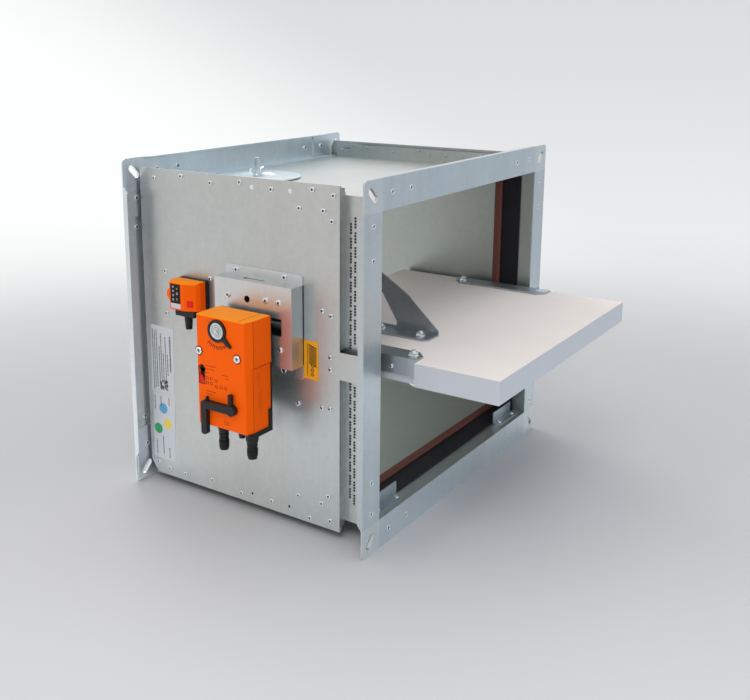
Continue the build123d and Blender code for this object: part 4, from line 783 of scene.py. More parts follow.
# %% [markdown]
# The small pieces of the next cells are turned from a profile or raised from an outline. Each
# could be written out as a list of points, but a few profiles and outlines come up again and
# again, and most pieces stand on a face that looks to the left. So both get a short word here.

# %% Places, profiles and outlines
LEFT = (-1, 0, 0)


def facing(direction, at):
    """Matrix that stands a form's Z axis on direction, at a point."""
    turn = Vector(direction).to_track_quat("Z", "Y").to_matrix().to_4x4()
    return Matrix.Translation(Vector(at)) @ turn


def drawn_on(at, across=(0, 1, 0), up=(0, 0, 1), out=LEFT):
    """Matrix for an outline on a flat face: a point of it, the outline's axes, its way out."""
    return Matrix.Translation(Vector(at)) @ Matrix((across, up, out)).transposed().to_4x4()


def in_mm(points):
    """Points that are written in millimetres."""
    return [tuple(value * MM for value in point) for point in points]


def disc(radius, low, high):
    """Profile of a disc between two heights."""
    return [(0, low), (radius, low), (radius, high), (0, high)]


def ring(inner, outer, low, high):
    """Profile of a flat ring between two heights."""
    return [(inner, low), (outer, low), (outer, high), (inner, high), (inner, low)]


def rectangle(low_x, low_y, high_x, high_y):
    """Outline of a rectangle."""
    return [(low_x, low_y), (high_x, low_y), (high_x, high_y), (low_x, high_y)]


def polygon(radius, corners, turn=0.0):
    """Outline of a regular polygon."""
    angles = [turn + 2 * pi * corner / corners for corner in range(corners)]
    return [(radius * cos(angle), radius * sin(angle)) for angle in angles]


print("a square has", len(rectangle(0, 0, 1, 1)), "corners, a nut", len(polygon(1, 6)))

# %% [markdown]
# Small turned and cut pieces are made in mesh code. Blender's own cylinders and cubes would need
# a modifier or two each. Two helpers are enough instead: one turns a profile round an axis, the
# other raises an outline. Both add to a mesh that is being built, so a whole group of screws
# becomes one object. A block and a thin plate are raised rectangles.

# %% Turned and raised forms
TURN_STEPS = 20
PRINT_T = 0.1 * MM


def add_turned(shape, profile, place, steps=TURN_STEPS):
    """Adds a turned form from (radius, height) points in metres."""
    rings = []
    for radius, height in profile:
        if radius == 0:
            rings.append([shape.verts.new(place @ Vector((0, 0, height)))])
            continue
        around = [
            shape.verts.new(place @ Vector((x, y, height))) for x, y in polygon(radius, steps)
        ]
        rings.append(around)
    for low, high in zip(rings, rings[1:]):
        for step in range(steps):
            after = (step + 1) % steps
            corners = [
                low[step % len(low)], low[after % len(low)],
                high[after % len(high)], high[step % len(high)],
            ]
            unique = list(dict.fromkeys(corners))
            if len(unique) > 2:
                shape.faces.new(unique)


def add_raised(shape, outline, depth, place):
    """Adds a closed prism from an outline of (x, y) points in metres."""
    base = [shape.verts.new(place @ Vector((x, y, 0))) for x, y in outline]
    top = [shape.verts.new(place @ Vector((x, y, depth))) for x, y in outline]
    shape.faces.new(base[::-1])
    shape.faces.new(top)
    count = len(outline)
    for index in range(count):
        after = (index + 1) % count
        shape.faces.new((base[index], base[after], top[after], top[index]))


def add_block(shape, low, high):
    """Adds a box between two corners in metres."""
    outline = rectangle(low[0], low[1], high[0], high[1])
    add_raised(shape, outline, high[2] - low[2], Matrix.Translation((0, 0, low[2])))


def add_plate(shape, face, low, high, thick=PRINT_T):
    """Adds a thin plate between two (y, z) corners, on a face that looks to -X."""
    add_block(shape, (face - thick, *low), (face, *high))


print("turned forms have", TURN_STEPS, "sides unless a cell says otherwise")

# %% [markdown]
# A mesh that has been built still has to become a piece of the object. Its faces are made to look
# outward, round ones are shaded smooth and real edges are kept sharp by their angle. It gets a
# finish and rides on the body that it moves with. This could be written out for each piece, but one
# function can't leave a step out.

# %% Finished pieces
SHARP_ANGLE = radians(32)


def finish_piece(shape, name, label, body="casing"):
    """Turns a built mesh into an object with a finish, and lets it ride on a body."""
    bmesh.ops.recalc_face_normals(shape, faces=shape.faces)
    mesh = bpy.data.meshes.new(name)
    shape.to_mesh(mesh)
    shape.free()
    for face in mesh.polygons:
        face.use_smooth = True
    mesh.set_sharp_from_angle(angle=SHARP_ANGLE)
    piece = bpy.data.objects.new(name, mesh)
    bpy.context.scene.collection.objects.link(piece)
    mesh.materials.append(finish[label])
    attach(piece, body)
    return piece


print("edges stay sharp from", round(SHARP_ANGLE / radians(1)), "degrees")

# %% [markdown]
# A group of screws is one node with a separate solid for each screw. To put a better head on
# each, the solids have to be told apart. Blender can separate loose parts into objects, but only
# their places are wanted here, so points that share a face are joined into islands and measured.

# %% Solids of a node
MATCH_DIGITS = 6


def islands(name):
    """The separate solids of a node, as (lowest corner, highest corner) pairs."""
    mesh = nodes[name].data
    key = [tuple(round(c, MATCH_DIGITS) for c in vertex.co) for vertex in mesh.vertices]
    parent = {point: point for point in key}

    def root(point):
        while parent[point] != point:
            parent[point] = parent[parent[point]]
            point = parent[point]
        return point

    for face in mesh.polygons:
        first = root(key[face.vertices[0]])
        for index in face.vertices[1:]:
            parent[root(key[index])] = first
    groups = {}
    for point in parent:
        groups.setdefault(root(point), []).append(point)
    corners = []
    for points in groups.values():
        axes = list(zip(*points))
        corners.append((Vector([min(axis) for axis in axes]), Vector([max(axis) for axis in axes])))
    return corners


print("panel screws", len(islands("panel_screws")))

# %% [markdown]
# Screws. The sheet is held by small pan-head screws with a socket in the middle. The node carries
# them as plain eight-sided heads. Each is replaced by a turned head at the same place, on the
# panels and the box a little wider, as the photo shows them. A socket cut by booleans would be slow
# for so many; the profile dips in the middle instead, and a dark plug in the dip is painted shade
# for its depth.

# %% Pan-head screws
PAN_HEAD = (
    (0, 0), (1, 0), (1, 0.35), (0.88, 0.75), (0.66, 0.97), (0.52, 1), (0.42, 0.5), (0, 0.45),
)
HEAD_STEPS = 16
SOCKET_STEPS = 6
SOCKET_R = 0.44
SOCKET_FLOOR = 0.4
SOCKET_TOP = 0.62


def scaled(profile, radius, height):
    """A profile written in shares of a radius and a height."""
    return [(radius * across, height * up) for across, up in profile]


def add_pan_head(shape, shade_plugs, at, direction, radius, height):
    """One head with its open socket, and the dark plug of painted shade in the socket."""
    place = facing(direction, at)
    add_turned(shape, scaled(PAN_HEAD, radius, height), place, HEAD_STEPS)
    plug = disc(radius * SOCKET_R, height * SOCKET_FLOOR, height * SOCKET_TOP)
    add_turned(shade_plugs, plug, place, SOCKET_STEPS)


def screw_group(node, direction_of, rim=1.0):
    """Replaces a node of plain heads by turned ones. direction_of gives the way a head faces."""
    heads, shade_plugs = bmesh.new(), bmesh.new()
    solids = islands(node)
    for low, high in solids:
        centre = (low + high) / 2
        direction = Vector(direction_of(centre))
        size = high - low
        height = abs(size.dot(direction))
        seat = centre - direction * (height / 2)
        add_pan_head(heads, shade_plugs, seat, direction, max(size) / 2 * rim, height)
    piece = finish_piece(heads, f"{node}_turned", "bright_zinc")
    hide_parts(node)
    finish_piece(shade_plugs, f"{node}_socket_shade", "socket_shadow")
    return len(solids)


print("panel", screw_group("panel_screws", lambda at: (1 if at.x > 0 else -1, 0, 0), rim=1.1))
print("box", screw_group("box_screws", lambda at: LEFT, rim=1.3))
print("stops", screw_group("stop_screws", lambda at: (0, 0, 1)))

# %% [markdown]
# Bolts on the blade: a stud through the board with a nut and a washer on each side, and one screw
# into the board's edge in each hinge bracket. The node gives where each bolt starts and ends, so
# the nuts are set on the faces of the brackets and of the board instead of at typed heights.

# %% Blade bolts
NUT_R = 5.6 * MM
WASHER_T = 1.0 * MM
CROWN_T = 0.6 * MM
WASHER = in_mm(((0, 0), (6.6, 0), (6.6, 0.8), (6.3, 1.0), (0, 1.0)))
CROWN = ((0, 0), (0.86, 0), (0.74, 1), (0, 1))
STUD_END = in_mm(((0, 0), (3.0, 0), (3.0, 1.6), (2.4, 2.2), (0, 2.2)))
EDGE_SCREW_MAX = 12 * MM
HINGE_FROM_X = 150 * MM
HINGE_SHEET = 3.0 * MM
LEVER_SHEET = 2.5 * MM


def add_hex_nut(shape, at, direction, height):
    """Washer, chamfered hexagon and the end of the stud."""
    place = facing(direction, at)

    def raised_by(distance):
        return place @ Matrix.Translation((0, 0, distance))

    add_turned(shape, WASHER, place)
    add_raised(shape, polygon(NUT_R, 6), height - WASHER_T - CROWN_T, raised_by(WASHER_T))
    add_turned(shape, scaled(CROWN, NUT_R, CROWN_T), raised_by(height - CROWN_T))
    add_turned(shape, STUD_END, raised_by(height))


def blade_bolts():
    shape, shade_plugs = bmesh.new(), bmesh.new()
    board_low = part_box("blade_board")[0][2]
    bracket_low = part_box("lever_bracket")[0][2]
    solids = islands("blade_bolts")
    for low, high in solids:
        centre = (low + high) / 2
        if high.z - low.z < EDGE_SCREW_MAX:
            outward = -1 if centre.x < 0 else 1
            seat = (low.x if outward > 0 else high.x, centre.y, centre.z)
            radius, height = (high.y - low.y) / 2, high.x - low.x
            add_pan_head(shape, shade_plugs, seat, (outward, 0, 0), radius, height)
            continue
        sheet = HINGE_SHEET if abs(centre.x) > HINGE_FROM_X else LEVER_SHEET
        seat_z = bracket_low + sheet
        add_hex_nut(shape, (centre.x, centre.y, seat_z), (0, 0, 1), high.z - seat_z)
        add_hex_nut(shape, (centre.x, centre.y, board_low), (0, 0, -1), board_low - low.z)
    piece = finish_piece(shape, "blade_nuts", "bright_zinc", "blade")
    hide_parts("blade_bolts")
    finish_piece(shade_plugs, "blade_screw_socket_shade", "socket_shadow", "blade")
    return len(solids)


print("blade bolts", blade_bolts())

# %% [markdown]
# Press joints of the flange. The rails and the corner plates are clinched together: the punch
# leaves a small pit with a raised rim on the front face of each flange. The node's studs stay. A
# rim and a pit are laid over each, which costs less than denting the sheet and catches the light in
# the same way. The rim is in the brighter zinc of the screws, a painted highlight, and the pit is a
# dark disc of painted shade.

# %% Clinched joints
PIT_R = 2.1 * MM
PIT_SPAN = (-0.1 * MM, 0.12 * MM)
CLINCH_RIM = in_mm(
    ((2.1, -0.1), (3.5, -0.1), (3.5, 0.15), (2.975, 0.5), (2.31, 0.4), (2.1, 0), (2.1, -0.1))
)
RIM_STEPS, PIT_STEPS = 18, 14
MIDDLE_Y = 200 * MM


def clinch_faces():
    rims, pit_shade = bmesh.new(), bmesh.new()
    solids = islands("flange_rivets")
    for low, high in solids:
        centre = (low + high) / 2
        face_y = 0.0 if centre.y < MIDDLE_Y else low.y
        place = facing((0, -1, 0), (centre.x, face_y, centre.z))
        add_turned(rims, CLINCH_RIM, place, RIM_STEPS)
        add_turned(pit_shade, disc(PIT_R, *PIT_SPAN), place, PIT_STEPS)
    finish_piece(rims, "clinch_rims", "bright_zinc")
    finish_piece(pit_shade, "clinch_pit_shade", "socket_shadow")
    return len(solids)


print("clinched joints", clinch_faces())

# %% [markdown]
# The points of the upper screws come through the side walls. Inside the open lip of the far wall
# they show as a row of short cones. They could be left to the solids, but there a screw is only
# its head. So the points are turned here, at the places where the screws sit in the photo.

# %% Screw points
LIP_POINTS = (
    (364, 214), (313, 220), (260, 215), (209, 220), (189, 215), (157, 215), (127, 215),
    (92.5, 220),
)
SMALL_STEPS = 12
SCREW_POINT = in_mm(((0, -0.3), (1.9, -0.3), (1.9, 0.9), (1.1, 2.4), (0, 3.2)))


def screw_points():
    shape = bmesh.new()
    inner_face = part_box("right_wall")[0][0]
    for y, z in LIP_POINTS:
        place = facing(LEFT, (inner_face, y * MM, z * MM))
        add_turned(shape, SCREW_POINT, place, SMALL_STEPS)
    finish_piece(shape, "screw_points", "bracket_sheet")
    return inner_face


print("screw points", len(LIP_POINTS), "from x", round(screw_points(), 4))

# %% [markdown]
# The perforated bands beside the flange. In the solids each group of holes is one slot. Cutting
# each square on its own would make the sheet heavy, so three thin bars across every slot turn it
# into a row of four, as on the real sheet.

# %% Perforation bars
PERF_COLUMNS = ((37.5 * MM, 108.5 * MM), (44.0 * MM, 101.0 * MM))
PERF_GROUP_PITCH = 18.4 * MM
PERF_GROUPS = 9
PERF_W = 3.2 * MM
SQUARE_PITCH = 3.8 * MM
BAR_H = 0.8 * MM


def perforation_bars(side):
    shape = bmesh.new()
    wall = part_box(f"{side}_wall")
    for half in (-1, 1):
        for centre_y, column_z in PERF_COLUMNS:
            low_y, high_y = centre_y - PERF_W / 2, centre_y + PERF_W / 2
            for group in range(PERF_GROUPS):
                along = (group - (PERF_GROUPS - 1) / 2) * PERF_GROUP_PITCH
                for bar in (-1, 0, 1):
                    z = half * column_z + along + bar * SQUARE_PITCH
                    low = (wall[0][0], low_y, z - BAR_H / 2)
                    add_block(shape, low, (wall[1][0], high_y, z + BAR_H / 2))
    finish_piece(shape, f"{side}_perforation_bars", "panel_sheet")


for side in ("left", "right"):
    perforation_bars(side)
print("perforation groups", 2 * len(PERF_COLUMNS) * PERF_GROUPS, "on each side")

# %% [markdown]
# The dial. The end of the spindle is a bright disc in a black ring with a pointer. The disc has a
# turned rim, and a low square with a small round end in its middle. It moves with the drive, so it
# rides on that body. Fine dark rings are painted shade for the grooves, which are too thin to show
# as shapes alone.

# %% Spindle face
DIAL_Y = 182.0 * MM
DIAL_Z = 44.0 * MM
disc_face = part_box("drive_shaft")[0][0]
SPINDLE_RIM = in_mm(((10.6, 0), (10.6, 0.5), (9.9, 0.9), (8.2, 0.9), (7.8, 0.4), (0, 0.4)))
SPINDLE_STEPS, WIDE_STEPS, END_STEPS = 32, 28, 16
SQUARE_R, SQUARE_T = 4.6 * MM, 1.3 * MM
SPINDLE_END = in_mm(((2.2, 0), (2.2, 1.9), (1.6, 2.2), (0, 2.2)))
GROOVE_SHADES = ((5.4, 0.4), (7.8, 0.4), (2.5, 1.3))
GROOVE_IN, GROOVE_OUT = 0.45, 0.1
GROOVE_UNDER, GROOVE_OVER = 0.1, 0.06


def spindle_face():
    shape, groove_shade = bmesh.new(), bmesh.new()
    place = facing(LEFT, (disc_face, DIAL_Y, DIAL_Z))
    add_turned(shape, SPINDLE_RIM, place, SPINDLE_STEPS)
    add_raised(shape, polygon(SQUARE_R, 4, pi / 4), SQUARE_T, place)
    add_turned(shape, SPINDLE_END, place, END_STEPS)
    finish_piece(shape, "spindle_face", "turned_steel", "drive")
    for radius, height in GROOVE_SHADES:
        inner, outer = (radius - GROOVE_IN) * MM, (radius + GROOVE_OUT) * MM
        low, high = (height - GROOVE_UNDER) * MM, (height + GROOVE_OVER) * MM
        add_turned(groove_shade, ring(inner, outer, low, high), place, WIDE_STEPS)
    finish_piece(groove_shade, "spindle_groove_shade", "socket_shadow", "drive")


spindle_face()
print("spindle with", len(GROOVE_SHADES), "groove_shade")

# %% [markdown]
# Under the dial a short scale of ticks is printed on the housing. An image could carry it, but
# each tick is only a thin bar, so one bar is drawn along an arm and the arm is turned step by
# step. The ticks are generic: every second one is longer, and there are no numbers.

# %% Dial scale
housing_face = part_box("actuator_housing")[0][0]
TICKS = 14
TICK_FROM, TICK_TO = -48.0, -141.0
TICK_INNER = 20.0 * MM
TICK_OUTER = (25.0 * MM, 24.0 * MM)
TICK_HALF_W = 0.55 * MM


def dial_scale():
    shape = bmesh.new()
    for tick in range(TICKS):
        angle = radians(TICK_FROM + (TICK_TO - TICK_FROM) * tick / (TICKS - 1))
        place = drawn_on((housing_face, DIAL_Y, DIAL_Z)) @ Matrix.Rotation(angle, 4, "Z")
        bar = rectangle(TICK_INNER, -TICK_HALF_W, TICK_OUTER[tick % 2], TICK_HALF_W)
        add_raised(shape, bar, PRINT_T, place)
    finish_piece(shape, "dial_scale", "black_print_and_shade")


dial_scale()
print("dial with", TICKS, "ticks")

# %% [markdown]
# Actuator screws: two large heads with a cross socket, sunk into the face of the housing. Each sits
# in a shallow counterbore, whose shade is painted as a flat darker orange ring round the head. The
# shade of the cross is painted too: two dark bars in the dip of the head, simpler than a cut and
# the same to the eye.

# %% Actuator screws
CROSS_HEAD = ((0, 0), (1, 0), (1, 0.6), (0.9, 1), (0.5, 1), (0.42, 0.5), (0, 0.4))
CROSS_HEAD_STEPS = 24
CROSS_L = 0.42
CROSS_H = 0.75
CROSS_HALF_W = 0.5 * MM
CROSS_TURN = 0.4
COUNTERBORE_SHADE_R = 1.32


def actuator_screws():
    heads, shade_plugs, rings = bmesh.new(), bmesh.new(), bmesh.new()
    solids = islands("actuator_screws")
    for low, high in solids:
        centre = (low + high) / 2
        place = facing(LEFT, (high.x, centre.y, centre.z))
        radius = (high.y - low.y) / 2
        height = high.x - low.x
        # The flat ring is painted shade of the counterbore.
        bore_shade = ring(radius, radius * COUNTERBORE_SHADE_R, 0, PRINT_T)
        add_turned(heads, scaled(CROSS_HEAD, radius, height), place, CROSS_HEAD_STEPS)
        add_turned(rings, bore_shade, place, CROSS_HEAD_STEPS)
        half_l = radius * CROSS_L
        for turn in (CROSS_TURN, CROSS_TURN + pi / 2):
            bar = rectangle(-half_l, -CROSS_HALF_W, half_l, CROSS_HALF_W)
            add_raised(shade_plugs, bar, height * CROSS_H, place @ Matrix.Rotation(turn, 4, "Z"))
    piece = finish_piece(heads, "actuator_screw_heads", "bright_zinc")
    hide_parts("actuator_screws")
    finish_piece(shade_plugs, "actuator_screw_cross_shade", "socket_shadow")
    finish_piece(rings, "counterbore_shade_rings", "orange_shade")
    return len(solids)


print("actuator screws", actuator_screws())

# %% [markdown]
# The actuator's covers meet in fine dark joints: across the top, down the side near the front,
# and level across the side. A groove could be cut into the moulding, but the solid's mesh stays
# as it is. A dark strip a tenth of a millimetre proud of it reads as the same line.

# %% Joints of the housing
SIDE_Y = 134.0 * MM
SIDE_LOW_Y = 135.5 * MM
COVER_END_Y = 149.0 * MM
BEVEL_X = -308.0 * MM
COVER_FRONT_X = -318.0 * MM
COVER_BACK_X = -274.0 * MM
SEAM_W = 0.5 * MM


def housing_joints():
    shape = bmesh.new()
    low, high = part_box("actuator_housing")
    seam = (BEVEL_X - SEAM_W / 2, BEVEL_X + SEAM_W / 2)
    level = (BEVEL_X, SIDE_Y - PRINT_T, -SEAM_W)
    across = (COVER_FRONT_X, COVER_END_Y, high[2])
    across_end = (COVER_BACK_X, COVER_END_Y + SEAM_W, high[2] + PRINT_T)
    add_block(shape, (seam[0], SIDE_Y - PRINT_T, 0), (seam[1], SIDE_Y, high[2]))
    add_block(shape, (seam[0], SIDE_LOW_Y - PRINT_T, low[2] + MM), (seam[1], SIDE_LOW_Y, 0))
    add_block(shape, level, (COVER_BACK_X, SIDE_Y, 0))
    add_block(shape, across, across_end)
    finish_piece(shape, "housing_joints", "brown_print")


housing_joints()

# %% [markdown]
# The face and the side of the housing carry small print. Here it is rows of short dashes of
# random length and a few empty squares, which look like print from afar and say nothing. Each
# dash could be typed in, but a random draw gives lengths as uneven as those of real print. The
# draws are seeded, so each run gives the same dashes.

# %% Print on the housing
DASH_ROWS = (
    (-5.0, 186.0, 204.0), (-9.5, 190.0, 204.0), (-14.5, 199.0, 204.0), (-13.0, 166.0, 176.0),
    (-17.0, 166.0, 171.0), (-39.0, 187.0, 204.0), (-42.5, 192.0, 204.0), (-78.0, 164.0, 174.0),
    (-75.0, 166.0, 176.0),
)
SIDE_ROWS = ((-300, -20, -6), (-296, -26, -8), (-297, -56, -34), (-293, -66, -30))
SIGN_SQUARES = (
    (201.0, -21.5), (194.5, -21.5), (186.0, -23.0), (201.0, -28.0), (194.5, -28.0),
    (186.0, -30.5), (178.0, -30.0), (170.5, -30.0),
)
SQUARE_STROKES = (
    (-1.9, -1.9, 3.8, 0.6), (-1.9, 1.3, 3.8, 0.6), (-1.9, -1.3, 0.6, 2.6), (1.3, -1.3, 0.6, 2.6),
)
FACE_SEED = 11
DASH_LENGTH = (1.2, 3.4)
DASH_SPACE = (0.5, 1.0)
FACE_DASH_W = 0.8 * MM
SIDE_DASH_W = 0.6 * MM


def dashes(shape, draw, place, low, high, thick):
    """A row of short dashes of random length along the first axis of place."""
    at = low
    while at < high:
        length = min(draw.uniform(*DASH_LENGTH) * MM, high - at)
        add_raised(shape, rectangle(at, -thick / 2, at + length, thick / 2), PRINT_T, place)
        at += length + draw.uniform(*DASH_SPACE) * MM


def housing_print():
    face, side = bmesh.new(), bmesh.new()
    draw = random.Random(FACE_SEED)
    for z, low_y, high_y in DASH_ROWS:
        place = drawn_on((housing_face, 0, z * MM))
        dashes(face, draw, place, low_y * MM, high_y * MM, FACE_DASH_W)
    for y, z in SIGN_SQUARES:
        for from_y, from_z, wide, tall in SQUARE_STROKES:
            low = (y + from_y, z + from_z)
            add_plate(face, housing_face, *in_mm((low, (low[0] + wide, low[1] + tall))))
    finish_piece(face, "housing_print", "brown_print")
    for x, low_z, high_z in SIDE_ROWS:
        upright = drawn_on((x * MM, SIDE_LOW_Y, 0), (0, 0, 1), (1, 0, 0), (0, -1, 0))
        dashes(side, draw, upright, low_z * MM, high_z * MM, SIDE_DASH_W)
    finish_piece(side, "side_print", "orange_shade")


housing_print()
print("print rows", len(DASH_ROWS) + len(SIDE_ROWS), "squares", len(SIGN_SQUARES))

# %% [markdown]
# The lock's keyhole has a black lining round its track and on its floor. The track is a recess in
# the solid, so only thin strips are added: two sides, a foot, and an arc round the round top. The
# arc stays open where it meets the track, which leaves the whole travel free for the red slider,
# a node of its own.

# %% Lock lining
TRACK_Y = 210.0 * MM
TRACK_LOW = -30.0 * MM
TRACK_TOP = -11.0 * MM
TRACK_HALF = 4.3 * MM
TRACK_ROUND_R = 5.2 * MM
TRACK_DEPTH = 3.0 * MM
SIDE_END = TRACK_TOP - 3.2 * MM
LINING_W = 0.8 * MM
LINING_PROUD = 0.4 * MM
LINING_T = 0.1 * MM
ARC_STEPS = 20


def round_top():
    """Outline of the open arc, from one side of the track over the top to the other."""
    opening = 2 * asin(TRACK_HALF / TRACK_ROUND_R)
    start = -pi / 2 + opening / 2
    outside = range(ARC_STEPS + 1)
    outline = []
    for radius, order in (
        (TRACK_ROUND_R + LINING_W, outside),
        (TRACK_ROUND_R, reversed(outside)),
    ):
        for step in order:
            angle = start + (2 * pi - opening) * step / ARC_STEPS
            outline.append((TRACK_Y + radius * cos(angle), TRACK_TOP + radius * sin(angle)))
    return outline


def lock_lining():
    shape = bmesh.new()
    proud = housing_face - LINING_PROUD
    floor_x = housing_face + TRACK_DEPTH
    low_y, high_y = TRACK_Y - TRACK_HALF, TRACK_Y + TRACK_HALF
    add_block(shape, (proud, low_y - LINING_W, TRACK_LOW), (housing_face, low_y, SIDE_END))
    add_block(shape, (proud, high_y, TRACK_LOW), (housing_face, high_y + LINING_W, SIDE_END))
    foot = (proud, low_y - LINING_W, TRACK_LOW - LINING_W)
    add_block(shape, foot, (housing_face, high_y + LINING_W, TRACK_LOW))
    add_raised(shape, round_top(), LINING_PROUD, drawn_on((housing_face, 0, 0)))
    add_block(shape, (floor_x - LINING_T, low_y, TRACK_LOW), (floor_x, high_y, TRACK_TOP))
    sunk = facing(LEFT, (floor_x, TRACK_Y, TRACK_TOP))
    add_turned(shape, disc(TRACK_ROUND_R, 0, LINING_T), sunk, WIDE_STEPS)
    finish_piece(shape, "lock_lining", "black_moulding")
    return floor_x


print("lock lining down to x", round(lock_lining(), 4))

# %% [markdown]
# The clip of the hand crank has a small nub above the arm, a plain tapered block. Under the
# housing each cable gland has five ribs for the fingers. No fit depends on either, so they are
# made here and not in the solids: each rib is a turned ring, a little smaller than the one above
# it, laid round the gland.

# %% Crank nub and gland ribs
NUB = in_mm(((198.5, -51.5), (203.5, -51.5), (201.2, -45.5), (199.6, -45.5)))
NUB_X = -320.6 * MM
NUB_T = 3.0 * MM
GLAND_RIBS = (((-299.0, 194.0), 6.6, -112.0), ((-297.5, 147.5), 6.9, -113.0))
RIBS = 5
RIB_PITCH = 2.2
RIB_IN, RIB_OUT, RIB_TAPER = 1.2, 0.55, 0.1
RIB_LOW, RIB_HIGH, RIB_EDGE = -0.6, 0.5, 0.2


def crank_nub():
    shape = bmesh.new()
    add_raised(shape, NUB, NUB_T, drawn_on((NUB_X, 0, 0)))
    finish_piece(shape, "crank_nub", "black_moulding")


def gland_ribs():
    shape = bmesh.new()
    for (x, y), radius, top_z in GLAND_RIBS:
        for rib in range(RIBS):
            inner = radius - RIB_IN
            outer = radius + RIB_OUT - RIB_TAPER * rib
            edge = outer - RIB_EDGE
            profile = in_mm((
                (inner, RIB_LOW), (edge, RIB_LOW), (outer, 0), (edge, RIB_HIGH),
                (inner, RIB_HIGH), (inner, RIB_LOW),
            ))
            at = Vector((x, y, top_z - rib * RIB_PITCH)) * MM
            add_turned(shape, profile, Matrix.Translation(at), WIDE_STEPS)
    finish_piece(shape, "gland_ribs", "black_moulding")


crank_nub()
gland_ribs()
print("nub and", RIBS * len(GLAND_RIBS), "ribs")

# %% [markdown]
# The mechanism box is folded from one sheet. A narrow slot is punched in its top, and beside its
# right wall the fold leaves a gap to the panel. All that the eye gets of a slot or a gap is its
# darkness, so each is painted shade: a thin dark strip on the surface.

# %% Painted shade on the mechanism box
BOX_SHADE_STRIPS = (
    ((-251.2, 161, 97.0), (-249.4, 193, 97.1)),
    ((-253.2, 190, 97.0), (-248.0, 195, 97.1)),
    ((-240.4, 107.7, -9), (-239.0, 108.0, 96)),
)


def box_shade_strips():
    shape = bmesh.new()
    for corners in BOX_SHADE_STRIPS:
        add_block(shape, *in_mm(corners))
    finish_piece(shape, "box_shade_strips", "black_print_and_shade")


box_shade_strips()
print("box marks", len(BOX_SHADE_STRIPS))

# %% [markdown]
# The white label is two stickers, one under the other and a little askew. One flat node holds
# their place, and two slanted sheets of the same thickness take it over, so that the edges run as
# in the photo.

# %% Stickers of the white label
STICKERS = (
    ((384.0, 339.5), (-101.0, 0.5)),
    ((384.5, 341.5), (-204.0, -101.6)),
)
STICKER_SLANT = 0.035
STICKER_RISE = STICKER_SLANT * 0.4


def rating_label():
    film = bmesh.new()
    low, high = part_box("rating_label")
    for (left, right), (low_z, high_z) in STICKERS:
        middle_y, middle_z = (left + right) / 2, (low_z + high_z) / 2
        outline = in_mm(
            (y - STICKER_SLANT * (z - middle_z), z + STICKER_RISE * (y - middle_y))
            for y, z in rectangle(right, low_z, left, high_z)
        )
        add_raised(film, outline, high[0] - low[0], drawn_on((high[0], 0, 0)))
    piece = finish_piece(film, "rating_stickers", "white_film")
    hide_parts("rating_label")
    return low[0]


label_face = rating_label()
print("stickers", len(STICKERS), "with their face at x", round(label_face, 4))

# %% [markdown]
# What is printed on the white label: columns of plain grey dashes, a block of small squares
# filled by chance, and three coloured dots. A picture mapped on the film would be one object
# less, but it would also be a file to carry along. So all of it is solid and a tenth of a
# millimetre thick, and nothing in it reads as words or can be scanned.

# %% Print of the white label
PRINT_COLUMNS = (
    (380.0, -97, -6), (376.2, -94, -8), (372.4, -92, -6), (367.6, -88, -30), (363.8, -82, -10),
    (360.0, -80, -40), (355.4, -84, -14), (351.6, -72, -40), (346.0, -66, -12),
    (380.0, -128, -106), (368.0, -122, -106), (352.0, -118, -106), (366.0, -196, -168),
    (379.0, -198, -176), (354.0, -200, -184),
)
LABEL_SEED = 5
BOLD_TO_Y = 350
BOLD_W, COLUMN_W = 2.6 * MM, 1.6 * MM
BLOCK_AT = (352.5, -96.0)
BLOCK_CELLS = 9
BLOCK_CELL = 1.7
BLOCK_FILL = 0.55
DOT_R = 8.0 * MM
DOTS = (
    ("blue_dot", "blue_print", 363.8, -124.7),
    ("yellow_dot", "yellow_print", 356.1, -147.3),
    ("green_dot", "green_print", 375.1, -157.7),
)


def rating_print():
    marks = bmesh.new()
    draw = random.Random(LABEL_SEED)
    for y, low_z, high_z in PRINT_COLUMNS:
        upright = drawn_on((label_face, y * MM, 0), (0, 0, 1), (0, -1, 0))
        width = BOLD_W if y < BOLD_TO_Y else COLUMN_W
        dashes(marks, draw, upright, low_z * MM, high_z * MM, width)
    for row in range(BLOCK_CELLS):
        for column in range(BLOCK_CELLS):
            if draw.random() < BLOCK_FILL:
                low = (BLOCK_AT[0] + column * BLOCK_CELL, BLOCK_AT[1] + row * BLOCK_CELL)
                high = (low[0] + BLOCK_CELL, low[1] + BLOCK_CELL)
                add_plate(marks, label_face, *in_mm((low, high)))
    finish_piece(marks, "rating_marks", "grey_print")
    for name, label, y, z in DOTS:
        dot = bmesh.new()
        place = facing(LEFT, (label_face, y * MM, z * MM))
        add_turned(dot, disc(DOT_R, 0, PRINT_T), place, WIDE_STEPS)
        finish_piece(dot, name, label)


rating_print()
print("columns", len(PRINT_COLUMNS), "dots", len(DOTS))

# %% [markdown]
# The amber label marks where the wall ends. It has one thin line, slanted hatching for the wall
# and three small rings. They are placed from the label's own box, so they follow it if its size
# changes.

# %% Print of the amber label
LINE_FROM, LINE_TO, LINE_MARGIN = 6.5 * MM, 5.7 * MM, 4 * MM
HATCH_ROWS = 9
HATCH_PITCH = 3.0
HATCH_TOP = 7
HATCH_LOW = (-3.3 * MM, -1.5 * MM)
HATCH_HIGH = (2.5 * MM, 0.7 * MM)
HATCH_MARGINS = (3 * MM, 8 * MM)
WALL_RINGS = 3
WALL_RING = ring(1.4 * MM, 2.5 * MM, 0, PRINT_T)
RING_FOOT, RING_PITCH = 7, 5.8
RING_SHIFT = 2 * MM


